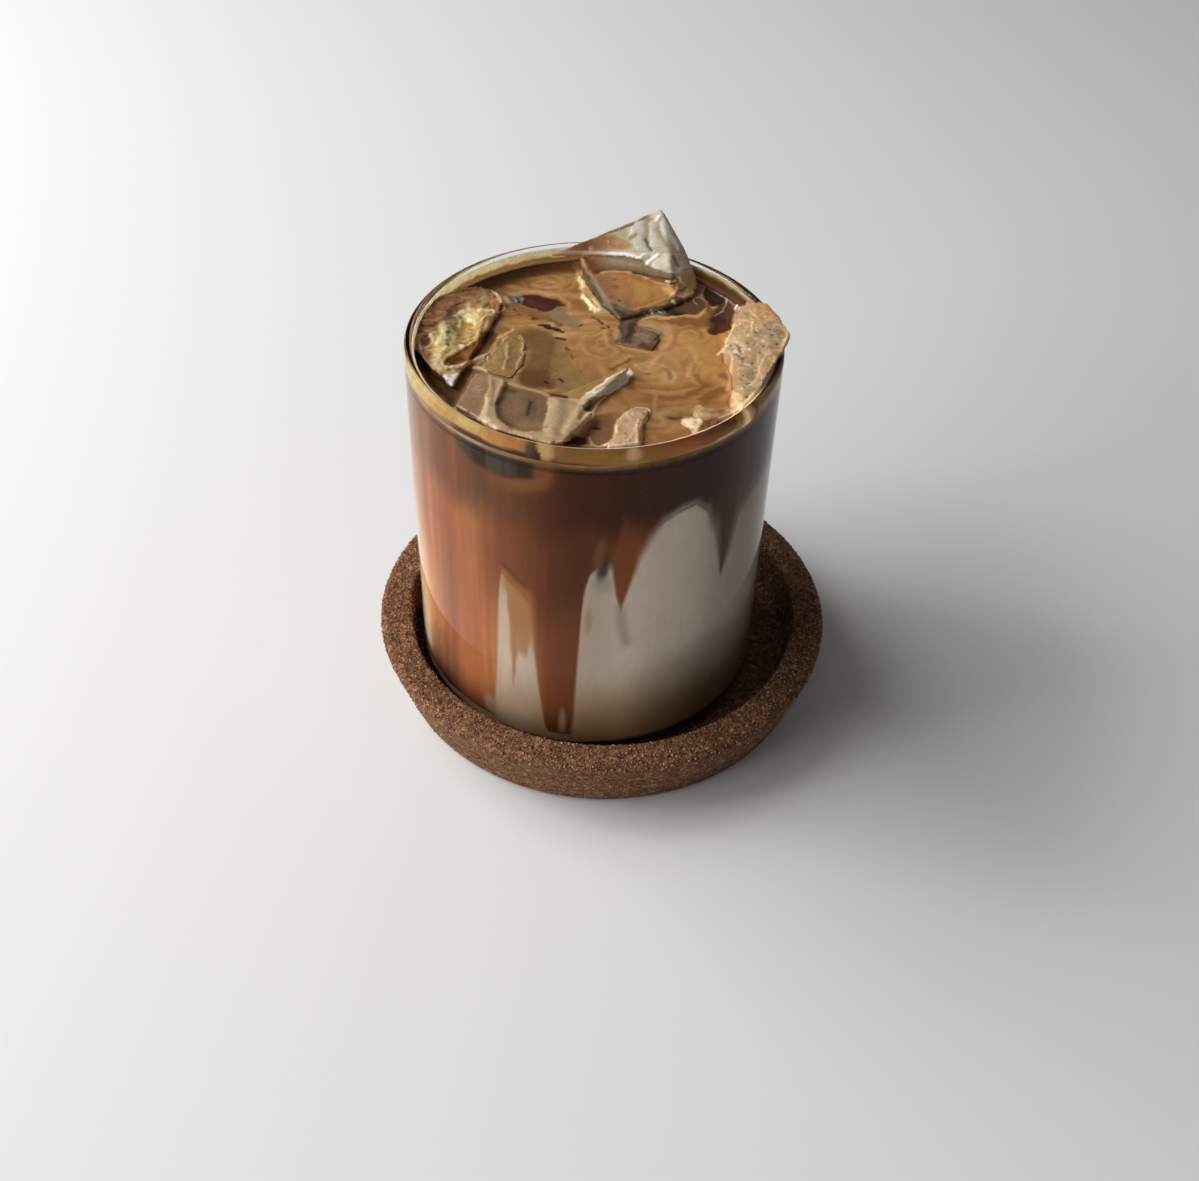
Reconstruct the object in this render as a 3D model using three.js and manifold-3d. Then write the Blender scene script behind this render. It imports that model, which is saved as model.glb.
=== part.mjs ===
// An iced hojicha latte: a straight glass tumbler with milk below, tea above, a pale skin on top and
// broken ice, standing a little off centre in a deep round saucer of pressed cork.
//
// Millimetres, +Z up. The origin is the middle of the saucer's underside. The side of the glass where
// the tea runs down into the milk faces -Y. Angles round the glass are in degrees from -Y, and they
// grow towards +X.

import * as THREE from 'three';
import { ConvexGeometry } from 'three/addons/geometries/ConvexGeometry.js';
import { mergeVertices } from 'three/addons/utils/BufferGeometryUtils.js';
import Module from 'manifold-3d';

const wasm = await Module();
wasm.setup();

// Pieces that touch in the real thing keep this gap, so that none cuts its neighbour.
const GAP = 0.3;

// Saucer: a thick ring wall that leans out a little, with rounded edges.
const SAUCER = {
  footRadius: 49.45,
  topRadius: 53.8,
  height: 16.4,
  innerTopRadius: 46.4,
  innerFloorRadius: 45.4,
  floorHeight: 5,
  footRound: 1.6,
  outerRound: 1.7,
  innerRound: 0.9,
  floorRound: 1.4,
  segments: 96,
};

// Glass: a straight tumbler that stands on the saucer's floor, to the left of the saucer's middle.
const GLASS = {
  offsetX: -3.65,
  radius: 40,
  wall: 1.9,
  base: 4,
  height: 87.26,
  footRound: 1.8,
  floorRound: 1.6,
  segments: 96,
};
const GLASS_FOOT = SAUCER.floorHeight;
const GLASS_RIM = GLASS_FOOT + GLASS.height;
const GLASS_INSIDE = GLASS.radius - GLASS.wall;
const GLASS_FLOOR = GLASS_FOOT + GLASS.base;

// Drink: its level is 5 mm below the rim, and its pale skin is just over 1 mm thick.
const DRINK = {
  level: GLASS_RIM - 5.06,
  skin: 1.2,
  radius: GLASS_INSIDE - GAP,
  floor: GLASS_FLOOR + GAP,
  milkFoot: 1.6,
  milkHeart: 52,
  segments: 180,
};
const TEA_TOP = DRINK.level - DRINK.skin - GAP;

// Where the milk ends at the glass: angle round the glass, and height in mm above the saucer's foot.
// The high places are tongues of milk, and the low ones are the runs of tea between them.
const MILK_EDGE = [
  [-100, 10.9], [-70, 10.9], [-31.5, 10.9], [-29.6, 42], [-28, 56.5], [-24, 54], [-18, 50],
  [-16.5, 36], [-13.5, 13], [-12, 10.9], [-4.5, 10.9], [-3.4, 16], [-2, 42], [-1, 55], [0.5, 60],
  [5, 64], [7, 62], [8.6, 54], [10.5, 49.7], [12.6, 56], [15.5, 64], [18.5, 68.5], [23, 72.8],
  [28, 74.3], [33.5, 74.8], [38.5, 71.5], [42.3, 64.6], [46.5, 50.3], [50, 58], [53, 66], [60, 69],
  [75, 70], [88, 66], [97, 38], [106, 62], [125, 70], [140, 58], [147, 20], [154, 54], [172, 64],
  [187, 60], [197, 30], [206, 56], [222, 61], [236, 46], [246, 12], [260, 10.9],
];

// Ice: each piece is the hull of its upper corners and of the same outline drawn in below the drink.
// A corner is [across, away, up]: mm from the glass's axis and mm above the drink's level.
const ICE = [
  {
    name: 'ice_back_wedge',
    parts: [
      {
        corners: [[-10.4, 33.2, 4.8], [-3, 34.8, 7.8], [1, 34.9, 9.6], [1, 33.2, 5.7], [-3, 33.3, 5.4]],
        under: [[-10.2, 33.6, 4.3], [-3, 34.6, 4.8], [1, 34.6, 4.9]],
      },
      {
        corners: [[-3.2, 34.7, 7.7], [13.4, 35, 16.3], [14.4, 34.4, 16.5], [15.8, 33, 14],
          [20.8, 30.8, 6.8], [-2.6, 33.2, 5.5], [9.6, 32, 5.5], [22.8, 26.8, 1.2], [17.6, 23, 1.2]],
        depth: 4,
        drawnIn: 0.86,
      },
      {
        corners: [[-3.6, 33, 5.2], [9.5, 32, 5.2], [13.6, 31.4, 4.6], [22.6, 25.6, 0.9], [18, 21, 0.7],
          [9.4, 16.4, 0.7], [5.4, 14.4, 0.6], [1.6, 19.6, 0.8], [-0.8, 25.4, 1.6], [-2.8, 30, 3.6]],
        depth: 15,
        drawnIn: 0.62,
      },
    ],
    scoops: [],
  },
  {
    name: 'ice_right_rim',
    parts: [
      {
        corners: [[27.4, 2.5, 1], [28.9, 9.5, 1], [30.6, 17, 1.6], [33, 17.6, 4.6], [37.2, 13.4, 6.2],
          [39.4, 7.4, 6.6], [41.1, 0.6, 6.4], [39.4, -4.8, 6.2], [35.2, -13, 5.4], [29.4, -22.4, 3.6],
          [27.9, -18.6, 1.2], [29.3, -9.4, 0.9]],
        depth: 9,
        drawnIn: 0.72,
      },
    ],
    scoops: [],
  },
  {
    name: 'ice_left_wall',
    parts: [
      {
        corners: [[-37, 8.8, 4], [-33.6, 16.4, 3.8], [-29.8, 21, 2.8], [-24.8, 24.6, 1.4],
          [-20.6, 19.2, 1.1], [-21.4, 14, 0.8], [-25, 4.6, 0.5], [-31, -3.4, 0.9],
          [-28.8, -13.8, 1.3], [-33.2, -9.4, 2.2], [-37.2, -2, 2.8], [-37.5, 4, 3.4]],
        depth: 12,
        drawnIn: 0.66,
      },
    ],
    scoops: [{ at: [-27.6, 8.4, 8.2], radius: 7.2, stretch: [0.95, 1.7, 1] }],
  },
  {
    name: 'ice_lens',
    parts: [
      {
        corners: [[-22, 0.8, 0.5], [-20.2, 5.4, 0.6], [-18.6, 8.4, 0.6], [-16.4, 6.9, 0.8],
          [-14.8, 3.6, 0.8], [-14.8, -3.4, 0.8], [-17.2, -8.8, 0.6], [-20.4, -7.6, 0.6],
          [-23.6, -4.8, 0.5], [-18.2, -1, 1.2]],
        depth: 5,
        drawnIn: 0.7,
      },
    ],
    scoops: [],
  },
  {
    name: 'ice_front_slab',
    parts: [
      {
        corners: [[-24.4, -10.6, 2.4], [-27.2, -22.6, 3], [-18, -30.6, 3.4], [-8, -34, 3.2],
          [-5.6, -33.8, 2.8], [-0.2, -22.4, 1.6], [-4.6, -16.6, 1], [-9, -15.8, 1], [-18, -11.6, 2]],
        depth: 13,
        drawnIn: 0.7,
      },
      {
        corners: [[-8, -16.4, 1], [-3, -21, 1.2], [2, -14.6, 1.3], [7.4, -6.4, 2.4],
          [6.4, -6.2, 0.6], [-1, -13.2, 1.2]],
        depth: 2,
        drawnIn: 0.84,
      },
    ],
    scoops: [],
  },
  {
    name: 'ice_front_chip',
    parts: [
      {
        corners: [[3.2, -32.8, 1.4], [4.6, -26.6, 1.2], [7.4, -20, 0.8], [11.4, -19.4, 0.8],
          [10.2, -25.6, 1.3], [9.4, -32.2, 1.7]],
        depth: 5,
        drawnIn: 0.7,
      },
    ],
    scoops: [],
  },
  {
    name: 'ice_right_chip',
    parts: [
      {
        corners: [[17.4, -22.2, 0.7], [21.4, -18.6, 0.8], [25.4, -21.6, 1.2], [21.2, -27.4, 1.5],
          [22.4, -22.8, 1.9]],
        depth: 4.5,
        drawnIn: 0.66,
      },
    ],
    scoops: [],
  },
  {
    name: 'ice_middle_shard',
    parts: [
      {
        corners: [[5.2, 5.4, 0.4], [5.4, 8.4, 0.5], [9.4, 11.4, 0.8], [13, 9.8, 0.6], [14.3, 7.6, 0.5],
          [12.4, 2.8, 0.4], [8.6, 4, 0.5]],
        depth: 6,
        drawnIn: 0.6,
      },
    ],
    scoops: [],
  },
];
const SCOOP_SIDES = 14;
const SCOOP_RINGS = 9;

// A room that is cut out of a solid runs on past its faces by this much, and past the glass by more.
const PAST_FACE = 1;
const PAST_GLASS = 12;

// Finishes.
const CORK = new THREE.MeshStandardMaterial({ color: 0x7a5238, roughness: 0.95, metalness: 0 });
const CLEAR_GLASS = new THREE.MeshStandardMaterial({
  color: 0xe8ecec, roughness: 0.05, metalness: 0, transparent: true, opacity: 0.3,
});
const MILK = new THREE.MeshStandardMaterial({ color: 0xb9b0a6, roughness: 0.4, metalness: 0 });
const TEA = new THREE.MeshStandardMaterial({ color: 0x5a3324, roughness: 0.35, metalness: 0 });
const PALE_SKIN = new THREE.MeshStandardMaterial({ color: 0xa57646, roughness: 0.45, metalness: 0 });
const ICE_CLEAR = new THREE.MeshStandardMaterial({
  color: 0xc9c2b4, roughness: 0.08, metalness: 0, transparent: true, opacity: 0.5,
});

/** Points of a round edge in a profile: radius round (x, z), from one angle to another, in degrees. */
function roundEdge(x, z, radius, from, to, steps = 3) {
  const points = [];
  for (let i = 0; i <= steps; i++) {
    const a = THREE.MathUtils.degToRad(from + (to - from) * i / steps);
    points.push(new THREE.Vector2(x + radius * Math.cos(a), z + radius * Math.sin(a)));
  }
  return points;
}

/** Keeps only the corners of a geometry, merged where they meet, with every face turned outwards. */
function closed(geometry) {
  geometry.deleteAttribute('normal');
  geometry.deleteAttribute('uv');
  const merged = mergeVertices(geometry, 1e-4);
  const position = merged.getAttribute('position');
  const corner = (i) => new THREE.Vector3().fromBufferAttribute(position, i);
  const faces = [];
  let volume = 0;
  for (let i = 0; i < merged.index.count; i += 3) {
    const [a, b, c] = [0, 1, 2].map((k) => merged.index.getX(i + k));
    if (a === b || b === c || c === a) continue;
    faces.push([a, b, c]);
    volume += corner(a).dot(corner(b).cross(corner(c)));
  }
  const turned = volume < 0 ? faces.map(([a, b, c]) => [a, c, b]) : faces;
  merged.setIndex(turned.flat());
  return merged;
}

/** A profile of radius and height turned round +Z. */
function turnedShape(profile, segments) {
  return closed(new THREE.LatheGeometry(profile, segments).rotateX(Math.PI / 2));
}

function toSolid(geometry) {
  return new wasm.Manifold(new wasm.Mesh({
    numProp: 3,
    vertProperties: new Float32Array(geometry.getAttribute('position').array),
    triVerts: new Uint32Array(geometry.index.array),
  }));
}

/** The largest body of a solid as a geometry; scraps that a cut leaves loose are dropped. */
function toGeometry(solid) {
  const bodies = solid.decompose().sort((a, b) => b.volume() - a.volume());
  const mesh = bodies[0].getMesh();
  const geometry = new THREE.BufferGeometry();
  geometry.setAttribute('position', new THREE.BufferAttribute(mesh.vertProperties, 3));
  geometry.setIndex(new THREE.BufferAttribute(mesh.triVerts, 1));
  return geometry;
}

function named(name, geometry, material) {
  const mesh = new THREE.Mesh(geometry, material);
  mesh.name = name;
  return mesh;
}

function saucer() {
  const s = SAUCER;
  return turnedShape([
    new THREE.Vector2(0, 0),
    ...roundEdge(s.footRadius - s.footRound, s.footRound, s.footRound, -90, -12),
    ...roundEdge(s.topRadius - s.outerRound, s.height - s.outerRound, s.outerRound, -12, 90),
    ...roundEdge(s.innerTopRadius + s.innerRound, s.height - s.innerRound, s.innerRound, 90, 180),
    ...roundEdge(s.innerFloorRadius - s.floorRound, s.floorHeight + s.floorRound, s.floorRound, 0, -90),
    new THREE.Vector2(0, s.floorHeight),
  ], s.segments);
}

function glass() {
  const g = GLASS;
  const rimRound = g.wall / 2;
  return turnedShape([
    new THREE.Vector2(0, GLASS_FOOT),
    ...roundEdge(g.radius - g.footRound, GLASS_FOOT + g.footRound, g.footRound, -90, 0),
    ...roundEdge(g.radius - rimRound, GLASS_RIM - rimRound, rimRound, 0, 180, 6),
    ...roundEdge(GLASS_INSIDE - g.floorRound, GLASS_FLOOR + g.floorRound, g.floorRound, 0, -90),
    new THREE.Vector2(0, GLASS_FLOOR),
  ], g.segments);
}

/** Height of the milk at the glass, for an angle round it in degrees. */
function milkEdge(angle) {
  const first = MILK_EDGE[0][0];
  const a = first + THREE.MathUtils.euclideanModulo(angle - first, 360);
  const next = MILK_EDGE.findIndex(([at]) => at >= a);
  if (next <= 0) return MILK_EDGE[0][1];
  const [a0, h0] = MILK_EDGE[next - 1];
  const [a1, h1] = MILK_EDGE[next];
  return THREE.MathUtils.lerp(h0, h1, (a - a0) / (a1 - a0));
}

/** Height of the milk anywhere: the edge at the glass, easing to one height in the middle. */
function milkHeight(x, y) {
  const share = Math.min(Math.hypot(x, y) / DRINK.radius, 1);
  const angle = THREE.MathUtils.radToDeg(Math.atan2(x, -y));
  return THREE.MathUtils.lerp(DRINK.milkHeart, milkEdge(angle), share ** 2);
}

/**
 * The milk, its top shaped to the line where it meets the tea. With a reach it is the room that the
 * milk takes from the tea: lifted by the gap, and wider and deeper than the drink.
 */
function milkShape(reach = 0) {
  const rings = [0.4, 0.7, 0.9, 1].map((share) => share * DRINK.radius);
  const round = GLASS.floorRound - GAP;
  const top = DRINK.floor + DRINK.milkFoot;
  const foot = reach > 0
    ? [new THREE.Vector2(DRINK.radius + reach, DRINK.floor - reach)]
    : roundEdge(DRINK.radius - round, DRINK.floor + round, round, -90, 0);
  if (reach > 0) rings.push(DRINK.radius + reach);
  const shape = turnedShape([
    new THREE.Vector2(0, DRINK.floor - reach), ...foot,
    ...rings.map((r) => new THREE.Vector2(r, top)).reverse(),
    new THREE.Vector2(0, top),
  ], DRINK.segments);
  const position = shape.getAttribute('position');
  const lift = reach > 0 ? GAP : 0;
  for (let i = 0; i < position.count; i++) {
    if (Math.abs(position.getZ(i) - top) > 1e-3) continue;
    position.setZ(i, milkHeight(position.getX(i), position.getY(i)) + lift);
  }
  return shape;
}

/** A plain round layer of the drink. */
function disc(lower, upper) {
  return turnedShape([
    new THREE.Vector2(0, lower), new THREE.Vector2(DRINK.radius, lower),
    new THREE.Vector2(DRINK.radius, upper), new THREE.Vector2(0, upper),
  ], DRINK.segments);
}

/** One convex lump: corners above the drink, and corners under it or the same outline drawn in at its depth. */
function lump({ corners, under, depth, drawnIn }, spread = 0) {
  const middle = corners
    .reduce((sum, [x, y]) => sum.add(new THREE.Vector2(x, y)), new THREE.Vector2())
    .divideScalar(corners.length);
  const aboveLevel = ([x, y, z]) => new THREE.Vector3(x, y, DRINK.level + z);
  const upper = corners.map(aboveLevel);
  const lower = under ? under.map(aboveLevel) : corners.map(([x, y]) => new THREE.Vector3(
    THREE.MathUtils.lerp(middle.x, x, drawnIn), THREE.MathUtils.lerp(middle.y, y, drawnIn),
    DRINK.level - depth,
  ));
  const points = [];
  for (const p of [...upper, ...lower]) {
    if (spread === 0) {
      points.push(p);
      continue;
    }
    for (const sx of [-1, 1]) for (const sy of [-1, 1]) for (const sz of [-1, 1]) {
      points.push(p.clone().add(new THREE.Vector3(sx, sy, sz).multiplyScalar(spread)));
    }
  }
  return toSolid(closed(new ConvexGeometry(points)));
}

function joined(solids) {
  return solids.reduce((whole, solid) => whole.add(solid));
}

/** The hollow that melting leaves in a piece of ice. */
function scoop({ at, radius, stretch }) {
  const shape = new THREE.SphereGeometry(radius, SCOOP_SIDES, SCOOP_RINGS).rotateX(Math.PI / 2);
  shape.scale(...stretch);
  shape.translate(at[0], at[1], DRINK.level + at[2]);
  return toSolid(closed(shape));
}

/** The room that the glass's wall and rim take up, with the gap that pieces keep to them. */
function wallRoom() {
  const inner = GLASS_INSIDE - GAP;
  const outer = GLASS.radius + PAST_GLASS;
  const top = GLASS_RIM + GAP;
  return toSolid(turnedShape([
    new THREE.Vector2(inner, GLASS_FLOOR), new THREE.Vector2(outer, GLASS_FLOOR),
    new THREE.Vector2(outer, top), new THREE.Vector2(inner, top), new THREE.Vector2(inner, GLASS_FLOOR),
  ], DRINK.segments));
}

// Each piece of ice, cut clear of the glass and of the pieces before it.
const room = wallRoom();
const iceSolids = [];
let taken = room;
for (const piece of ICE) {
  let solid = joined(piece.parts.map((part) => lump(part)));
  for (const hollow of piece.scoops) solid = solid.subtract(scoop(hollow));
  iceSolids.push(solid.subtract(taken));
  taken = taken.add(joined(piece.parts.map((part) => lump(part, GAP))));
}

const milkRoom = toSolid(milkShape(PAST_FACE));
const roundIce = joined(ICE.flatMap((piece) => piece.parts.map((part) => lump(part, GAP))));

// Everything in and on the glass is placed from the glass's axis.
const tumbler = new THREE.Group();
tumbler.position.x = GLASS.offsetX;
tumbler.add(
  named('glass', glass(), CLEAR_GLASS),
  named('milk', milkShape(), MILK),
  named('tea', toGeometry(toSolid(disc(DRINK.floor, TEA_TOP)).subtract(milkRoom).subtract(roundIce)), TEA),
  named('pale_skin', toGeometry(toSolid(disc(DRINK.level - DRINK.skin, DRINK.level)).subtract(roundIce)),
    PALE_SKIN),
);
ICE.forEach((piece, i) => tumbler.add(named(piece.name, toGeometry(iceSolids[i]), ICE_CLEAR)));

const part = new THREE.Group();
part.add(named('saucer', saucer(), CORK), tumbler);

export default part;
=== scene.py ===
import math

import bmesh
import bpy
import numpy as np
from mathutils import Matrix, Vector, noise
from mathutils.bvhtree import BVHTree


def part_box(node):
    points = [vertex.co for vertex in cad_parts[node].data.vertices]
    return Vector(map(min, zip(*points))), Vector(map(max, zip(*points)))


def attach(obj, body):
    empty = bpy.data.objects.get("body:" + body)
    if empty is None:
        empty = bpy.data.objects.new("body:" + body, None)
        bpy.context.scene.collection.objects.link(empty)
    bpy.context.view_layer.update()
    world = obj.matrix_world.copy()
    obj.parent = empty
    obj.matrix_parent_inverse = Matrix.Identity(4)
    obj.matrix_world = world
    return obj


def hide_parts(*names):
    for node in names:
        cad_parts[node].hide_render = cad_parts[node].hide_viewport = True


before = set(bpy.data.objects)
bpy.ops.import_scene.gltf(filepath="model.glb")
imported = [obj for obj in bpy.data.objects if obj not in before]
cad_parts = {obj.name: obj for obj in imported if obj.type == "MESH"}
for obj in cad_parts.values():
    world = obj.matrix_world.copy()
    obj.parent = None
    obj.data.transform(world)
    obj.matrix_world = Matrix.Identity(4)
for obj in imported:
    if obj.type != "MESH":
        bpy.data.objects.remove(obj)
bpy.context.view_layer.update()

# Sizes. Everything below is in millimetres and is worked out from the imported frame. MM turns it to metres.
MM = 0.001
glass_low, glass_high = (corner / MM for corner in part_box("glass"))
saucer_low, saucer_high = (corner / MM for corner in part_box("saucer"))
skin_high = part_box("pale_skin")[1] / MM

GLASS_X = (glass_low.x + glass_high.x) / 2
GLASS_RADIUS = (glass_high.y - glass_low.y) / 2
GLASS_FOOT = glass_low.z
GLASS_RIM = glass_high.z
WALL = 1.9
INSIDE = GLASS_RADIUS - WALL
BASE = 4.0
FLOOR_INSIDE = GLASS_FOOT + BASE
LEVEL = skin_high.z
INTO_WALL = 0.45
DRINK_RADIUS = INSIDE + INTO_WALL

SAUCER_TOP_RADIUS = (saucer_high.x - saucer_low.x) / 2
SAUCER_FOOT_RADIUS = 49.45
SAUCER_MOUTH_RADIUS = 46.4
SAUCER_WELL_RADIUS = 45.4
SAUCER_HEIGHT = saucer_high.z
SAUCER_FLOOR = 5.0

# Flat sides round the saucer and the tumbler.
SEGMENTS_ROUND = 256

# The photograph's camera, found from the rim and the saucer's rings. Angles are in radians.
PHOTO_WIDTH = 1199
FOCAL_PIXELS = 1500.0
SENSOR_MM = 36.0
CAMERA_DISTANCE = 344.66
CAMERA_TARGET_HEIGHT = 50.0
CAMERA_ELEVATION = 0.6803
CAMERA_YAW = -0.0078
CAMERA_PITCH = -0.0644
CAMERA_ROLL = -0.0268
CLIP_START = 0.01

# Soft daylight from the left, in metres. Lamps: name, turn and rise in degrees, watts.
LAMP_SIZE = 0.6
LAMP_DISTANCE = 1.1
LAMP_COLOUR = (1.0, 1.0, 1.0)
ROOM_LIGHT = 0.125
LAMPS = [
    ("window", 180, 38, 7.9),
    ("window_behind", 150, 38, 5.4),
    ("window_low", 210, 18, 5.4),
]


# Camera, floor and light
FLOOR_REACH = 3.0


def add_object(name, data):
    thing = bpy.data.objects.new(name, data)
    bpy.context.scene.collection.objects.link(thing)
    return thing


def add_camera():
    back = Vector((0, -math.cos(CAMERA_ELEVATION), math.sin(CAMERA_ELEVATION)))
    place = Vector((GLASS_X, 0, CAMERA_TARGET_HEIGHT)) + back * CAMERA_DISTANCE
    forward = -back
    right = Vector((1, 0, 0))
    up = right.cross(forward)
    yaw = Matrix.Rotation(CAMERA_YAW, 3, up)
    forward, right = yaw @ forward, yaw @ right
    pitch = Matrix.Rotation(CAMERA_PITCH, 3, right)
    forward, up = pitch @ forward, pitch @ up
    roll = Matrix.Rotation(CAMERA_ROLL, 3, forward)
    right, up = roll @ right, roll @ up
    data = bpy.data.cameras.new("photo_camera")
    data.sensor_width = SENSOR_MM
    data.lens = FOCAL_PIXELS * SENSOR_MM / PHOTO_WIDTH
    data.clip_start = CLIP_START
    camera = add_object("photo_camera", data)
    turn = Matrix((right, up, -forward)).transposed().to_4x4()
    camera.matrix_world = Matrix.Translation(place * MM) @ turn
    bpy.context.scene.camera = camera


def add_lamp(name, turn, rise, power):
    """A soft square lamp that looks at the glass: turn from +X and rise, in degrees."""
    data = bpy.data.lights.new(name, "AREA")
    data.shape = "SQUARE"
    data.size = LAMP_SIZE
    data.energy = power
    data.color = LAMP_COLOUR
    lamp = add_object(name, data)
    turn, rise = math.radians(turn), math.radians(rise)
    way = Vector((math.cos(rise) * math.cos(turn), math.cos(rise) * math.sin(turn), math.sin(rise)))
    facing = way.to_track_quat("Z", "Y").to_matrix().to_4x4()
    lamp.matrix_world = Matrix.Translation(way * LAMP_DISTANCE) @ facing


def add_lights():
    world = bpy.data.worlds.new("soft_room")
    world.use_nodes = True
    sky = world.node_tree.nodes["Background"].inputs
    sky["Color"].default_value = (*LAMP_COLOUR, 1)
    sky["Strength"].default_value = ROOM_LIGHT
    bpy.context.scene.world = world
    for name, turn, rise, power in LAMPS:
        add_lamp(name, turn, rise, power)
    bpy.context.scene.view_settings.view_transform = "Standard"


def add_floor(material):
    mesh = bpy.data.meshes.new("floor")
    corners = [(x * FLOOR_REACH, y * FLOOR_REACH, 0) for x, y in ((-1, -1), (1, -1), (1, 1), (-1, 1))]
    mesh.from_pydata(corners, [], [(0, 1, 2, 3)])
    mesh.materials.append(material)
    add_object("floor", mesh)


# Finishes. The cork's browns are places in a ramp with their display colours.
CORK_BROWNS = [
    (0, (62, 38, 24)), (0.25, (98, 64, 42)), (0.6, (128, 88, 60)), (0.85, (148, 106, 76)),
    (1, (182, 142, 108)),
]
GRANULE_BROWNS = [
    (0, (54, 34, 23)), (0.3, (96, 64, 44)), (0.62, (132, 92, 66)), (0.86, (166, 124, 92)),
    (1, (206, 168, 134)),
]
CORK_CELLS_PER_MM, SMALL_CELLS_PER_MM = 1.15, 2.6


def linear(colours):
    """Colours given as 0 to 255 display values, as the linear values that shaders take."""
    value = np.asarray(colours, float) / 255
    return np.where(value <= 0.04045, value / 12.92, ((value + 0.055) / 1.055) ** 2.4)


def put(tree, socket, value):
    """Joins a socket to the socket that feeds it, or sets its value."""
    if isinstance(value, bpy.types.NodeSocket):
        tree.links.new(value, socket)
    else:
        socket.default_value = value


def add_node(tree, kind, inputs=(), **settings):
    """A node with its settings made first, and then its inputs, by name or number."""
    node = tree.nodes.new(kind)
    for setting, value in settings.items():
        setattr(node, setting, value)
    for socket, value in dict(inputs).items():
        put(tree, node.inputs[socket], value)
    return node


class Finish:
    """A procedural material, built socket by socket."""

    def __init__(self, name):
        self.material = bpy.data.materials.new(name)
        self.material.use_nodes = True
        self.tree = self.material.node_tree
        self.shader = self.tree.nodes["Principled BSDF"]

    def set(self, **values):
        """Sets the shader's sockets: underscores stand for spaces."""
        for name, value in values.items():
            put(self.tree, self.shader.inputs[name.replace("_", " ")], value)
        return self.material

    def maths(self, operation, *values):
        return add_node(self.tree, "ShaderNodeMath", enumerate(values), operation=operation).outputs[0]

    def blend(self, share, first, second, way="MIX"):
        inputs = {"Factor": share, 6: first, 7: second}
        return add_node(self.tree, "ShaderNodeMix", inputs, data_type="RGBA", blend_type=way).outputs[2]

    def rise(self, value, low, high):
        """0 below low, 1 above high, with soft ends."""
        inputs = {"Value": value, "From Min": low, "From Max": high}
        return add_node(self.tree, "ShaderNodeMapRange", inputs, interpolation_type="SMOOTHSTEP").outputs[0]

    def place(self, upright=1):
        """Object coordinates in millimetres from the glass's axis, with the height scaled by a share."""
        here = add_node(self.tree, "ShaderNodeTexCoord").outputs["Object"]
        inputs = {"Vector": here, "Location": (-GLASS_X, 0, 0), "Scale": (1 / MM, 1 / MM, upright / MM)}
        return add_node(self.tree, "ShaderNodeMapping", inputs).outputs[0]

    def part(self, vector, number):
        return add_node(self.tree, "ShaderNodeSeparateXYZ", {0: vector}).outputs[number]

    def noise(self, vector, scale, detail):
        inputs = {"Vector": vector, "Scale": scale, "Detail": detail}
        return add_node(self.tree, "ShaderNodeTexNoise", inputs).outputs["Fac"]

    def cells(self, vector, scale, output="Distance", feature="F1"):
        inputs = {"Vector": vector, "Scale": scale}
        return add_node(self.tree, "ShaderNodeTexVoronoi", inputs, feature=feature).outputs[output]

    def stored(self, name, output):
        """What is stored on the piece's points under a name."""
        return add_node(self.tree, "ShaderNodeAttribute", attribute_name=name).outputs[output]

    def ramp(self, value, stops):
        node = add_node(self.tree, "ShaderNodeValToRGB", {0: value})
        elements = node.color_ramp.elements
        while len(elements) < len(stops):
            elements.new(0.5)
        for element, (at, tone) in zip(elements, stops):
            element.position = at
            element.color = (*tone, 1)
        return node.outputs[0]

    def bump(self, height, strength, distance):
        """Low relief. The distance is in mm."""
        inputs = {"Height": height, "Strength": strength, "Distance": distance * MM}
        self.set(Normal=add_node(self.tree, "ShaderNodeBump", inputs).outputs[0])


def painted_finish(name, tones, grain, upright=1, relief=None, **values):
    """Shows the colours painted on a piece through a grain. Relief: scale, detail, strength, distance."""
    f = Finish(name)
    shade = f.ramp(f.noise(f.place(upright), grain, 3), tones)
    if relief:
        scale, detail, strength, distance = relief
        f.bump(f.noise(f.place(), scale, detail), strength, distance)
    return f.set(Base_Color=f.blend(1, f.stored("look", "Color"), shade, "MULTIPLY"), **values)


def floor_finish():
    f = Finish("pale_floor")
    f.bump(f.noise(f.place(), 0.35, 3), 0.08, 0.2)
    return f.set(Base_Color=(*linear((232, 232, 231)), 1), Roughness=0.7, Specular_IOR_Level=0.2)


def clear_glass_finish():
    f = Finish("clear_glass")
    return f.set(Base_Color=(1, 1, 1, 1), Roughness=0, IOR=1.32, Transmission_Weight=1,
                 Specular_Tint=(0.1, 0.1, 0.1, 1))


def liquid_finish(name):
    """A drink seen through the wall: it has no gloss of its own."""
    tones = [(0.3, (0.97, 0.97, 0.97)), (0.7, (1.03, 1.03, 1.03))]
    return painted_finish(name, tones, 0.8, 0.35, Roughness=0.8, Specular_IOR_Level=0)


def skin_finish():
    """The wet marbled skin."""
    tones = [(0.3, (0.9, 0.89, 0.88)), (0.7, (1.08, 1.08, 1.08))]
    return painted_finish("marbled_skin", tones, 2.2, relief=(0.5, 2, 0.15, 0.3), Roughness=0.16, IOR=1.34)


def painted_ice_finish(name, clearness, roughness, coat=0.2):
    """Wet ice with bubbles, partly clear, that shows the drink's colours and the painted light stored on it.
    """
    tones = [(0.32, (0.88, 0.87, 0.85)), (0.5, (1, 1, 1)), (0.72, (1.12, 1.12, 1.1))]
    return painted_finish(name, tones, 2.6, relief=(1.3, 3, 0.2, 0.3), Roughness=roughness, IOR=1.31,
                          Transmission_Weight=clearness, Coat_Weight=coat, Coat_Roughness=0.06)


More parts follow.
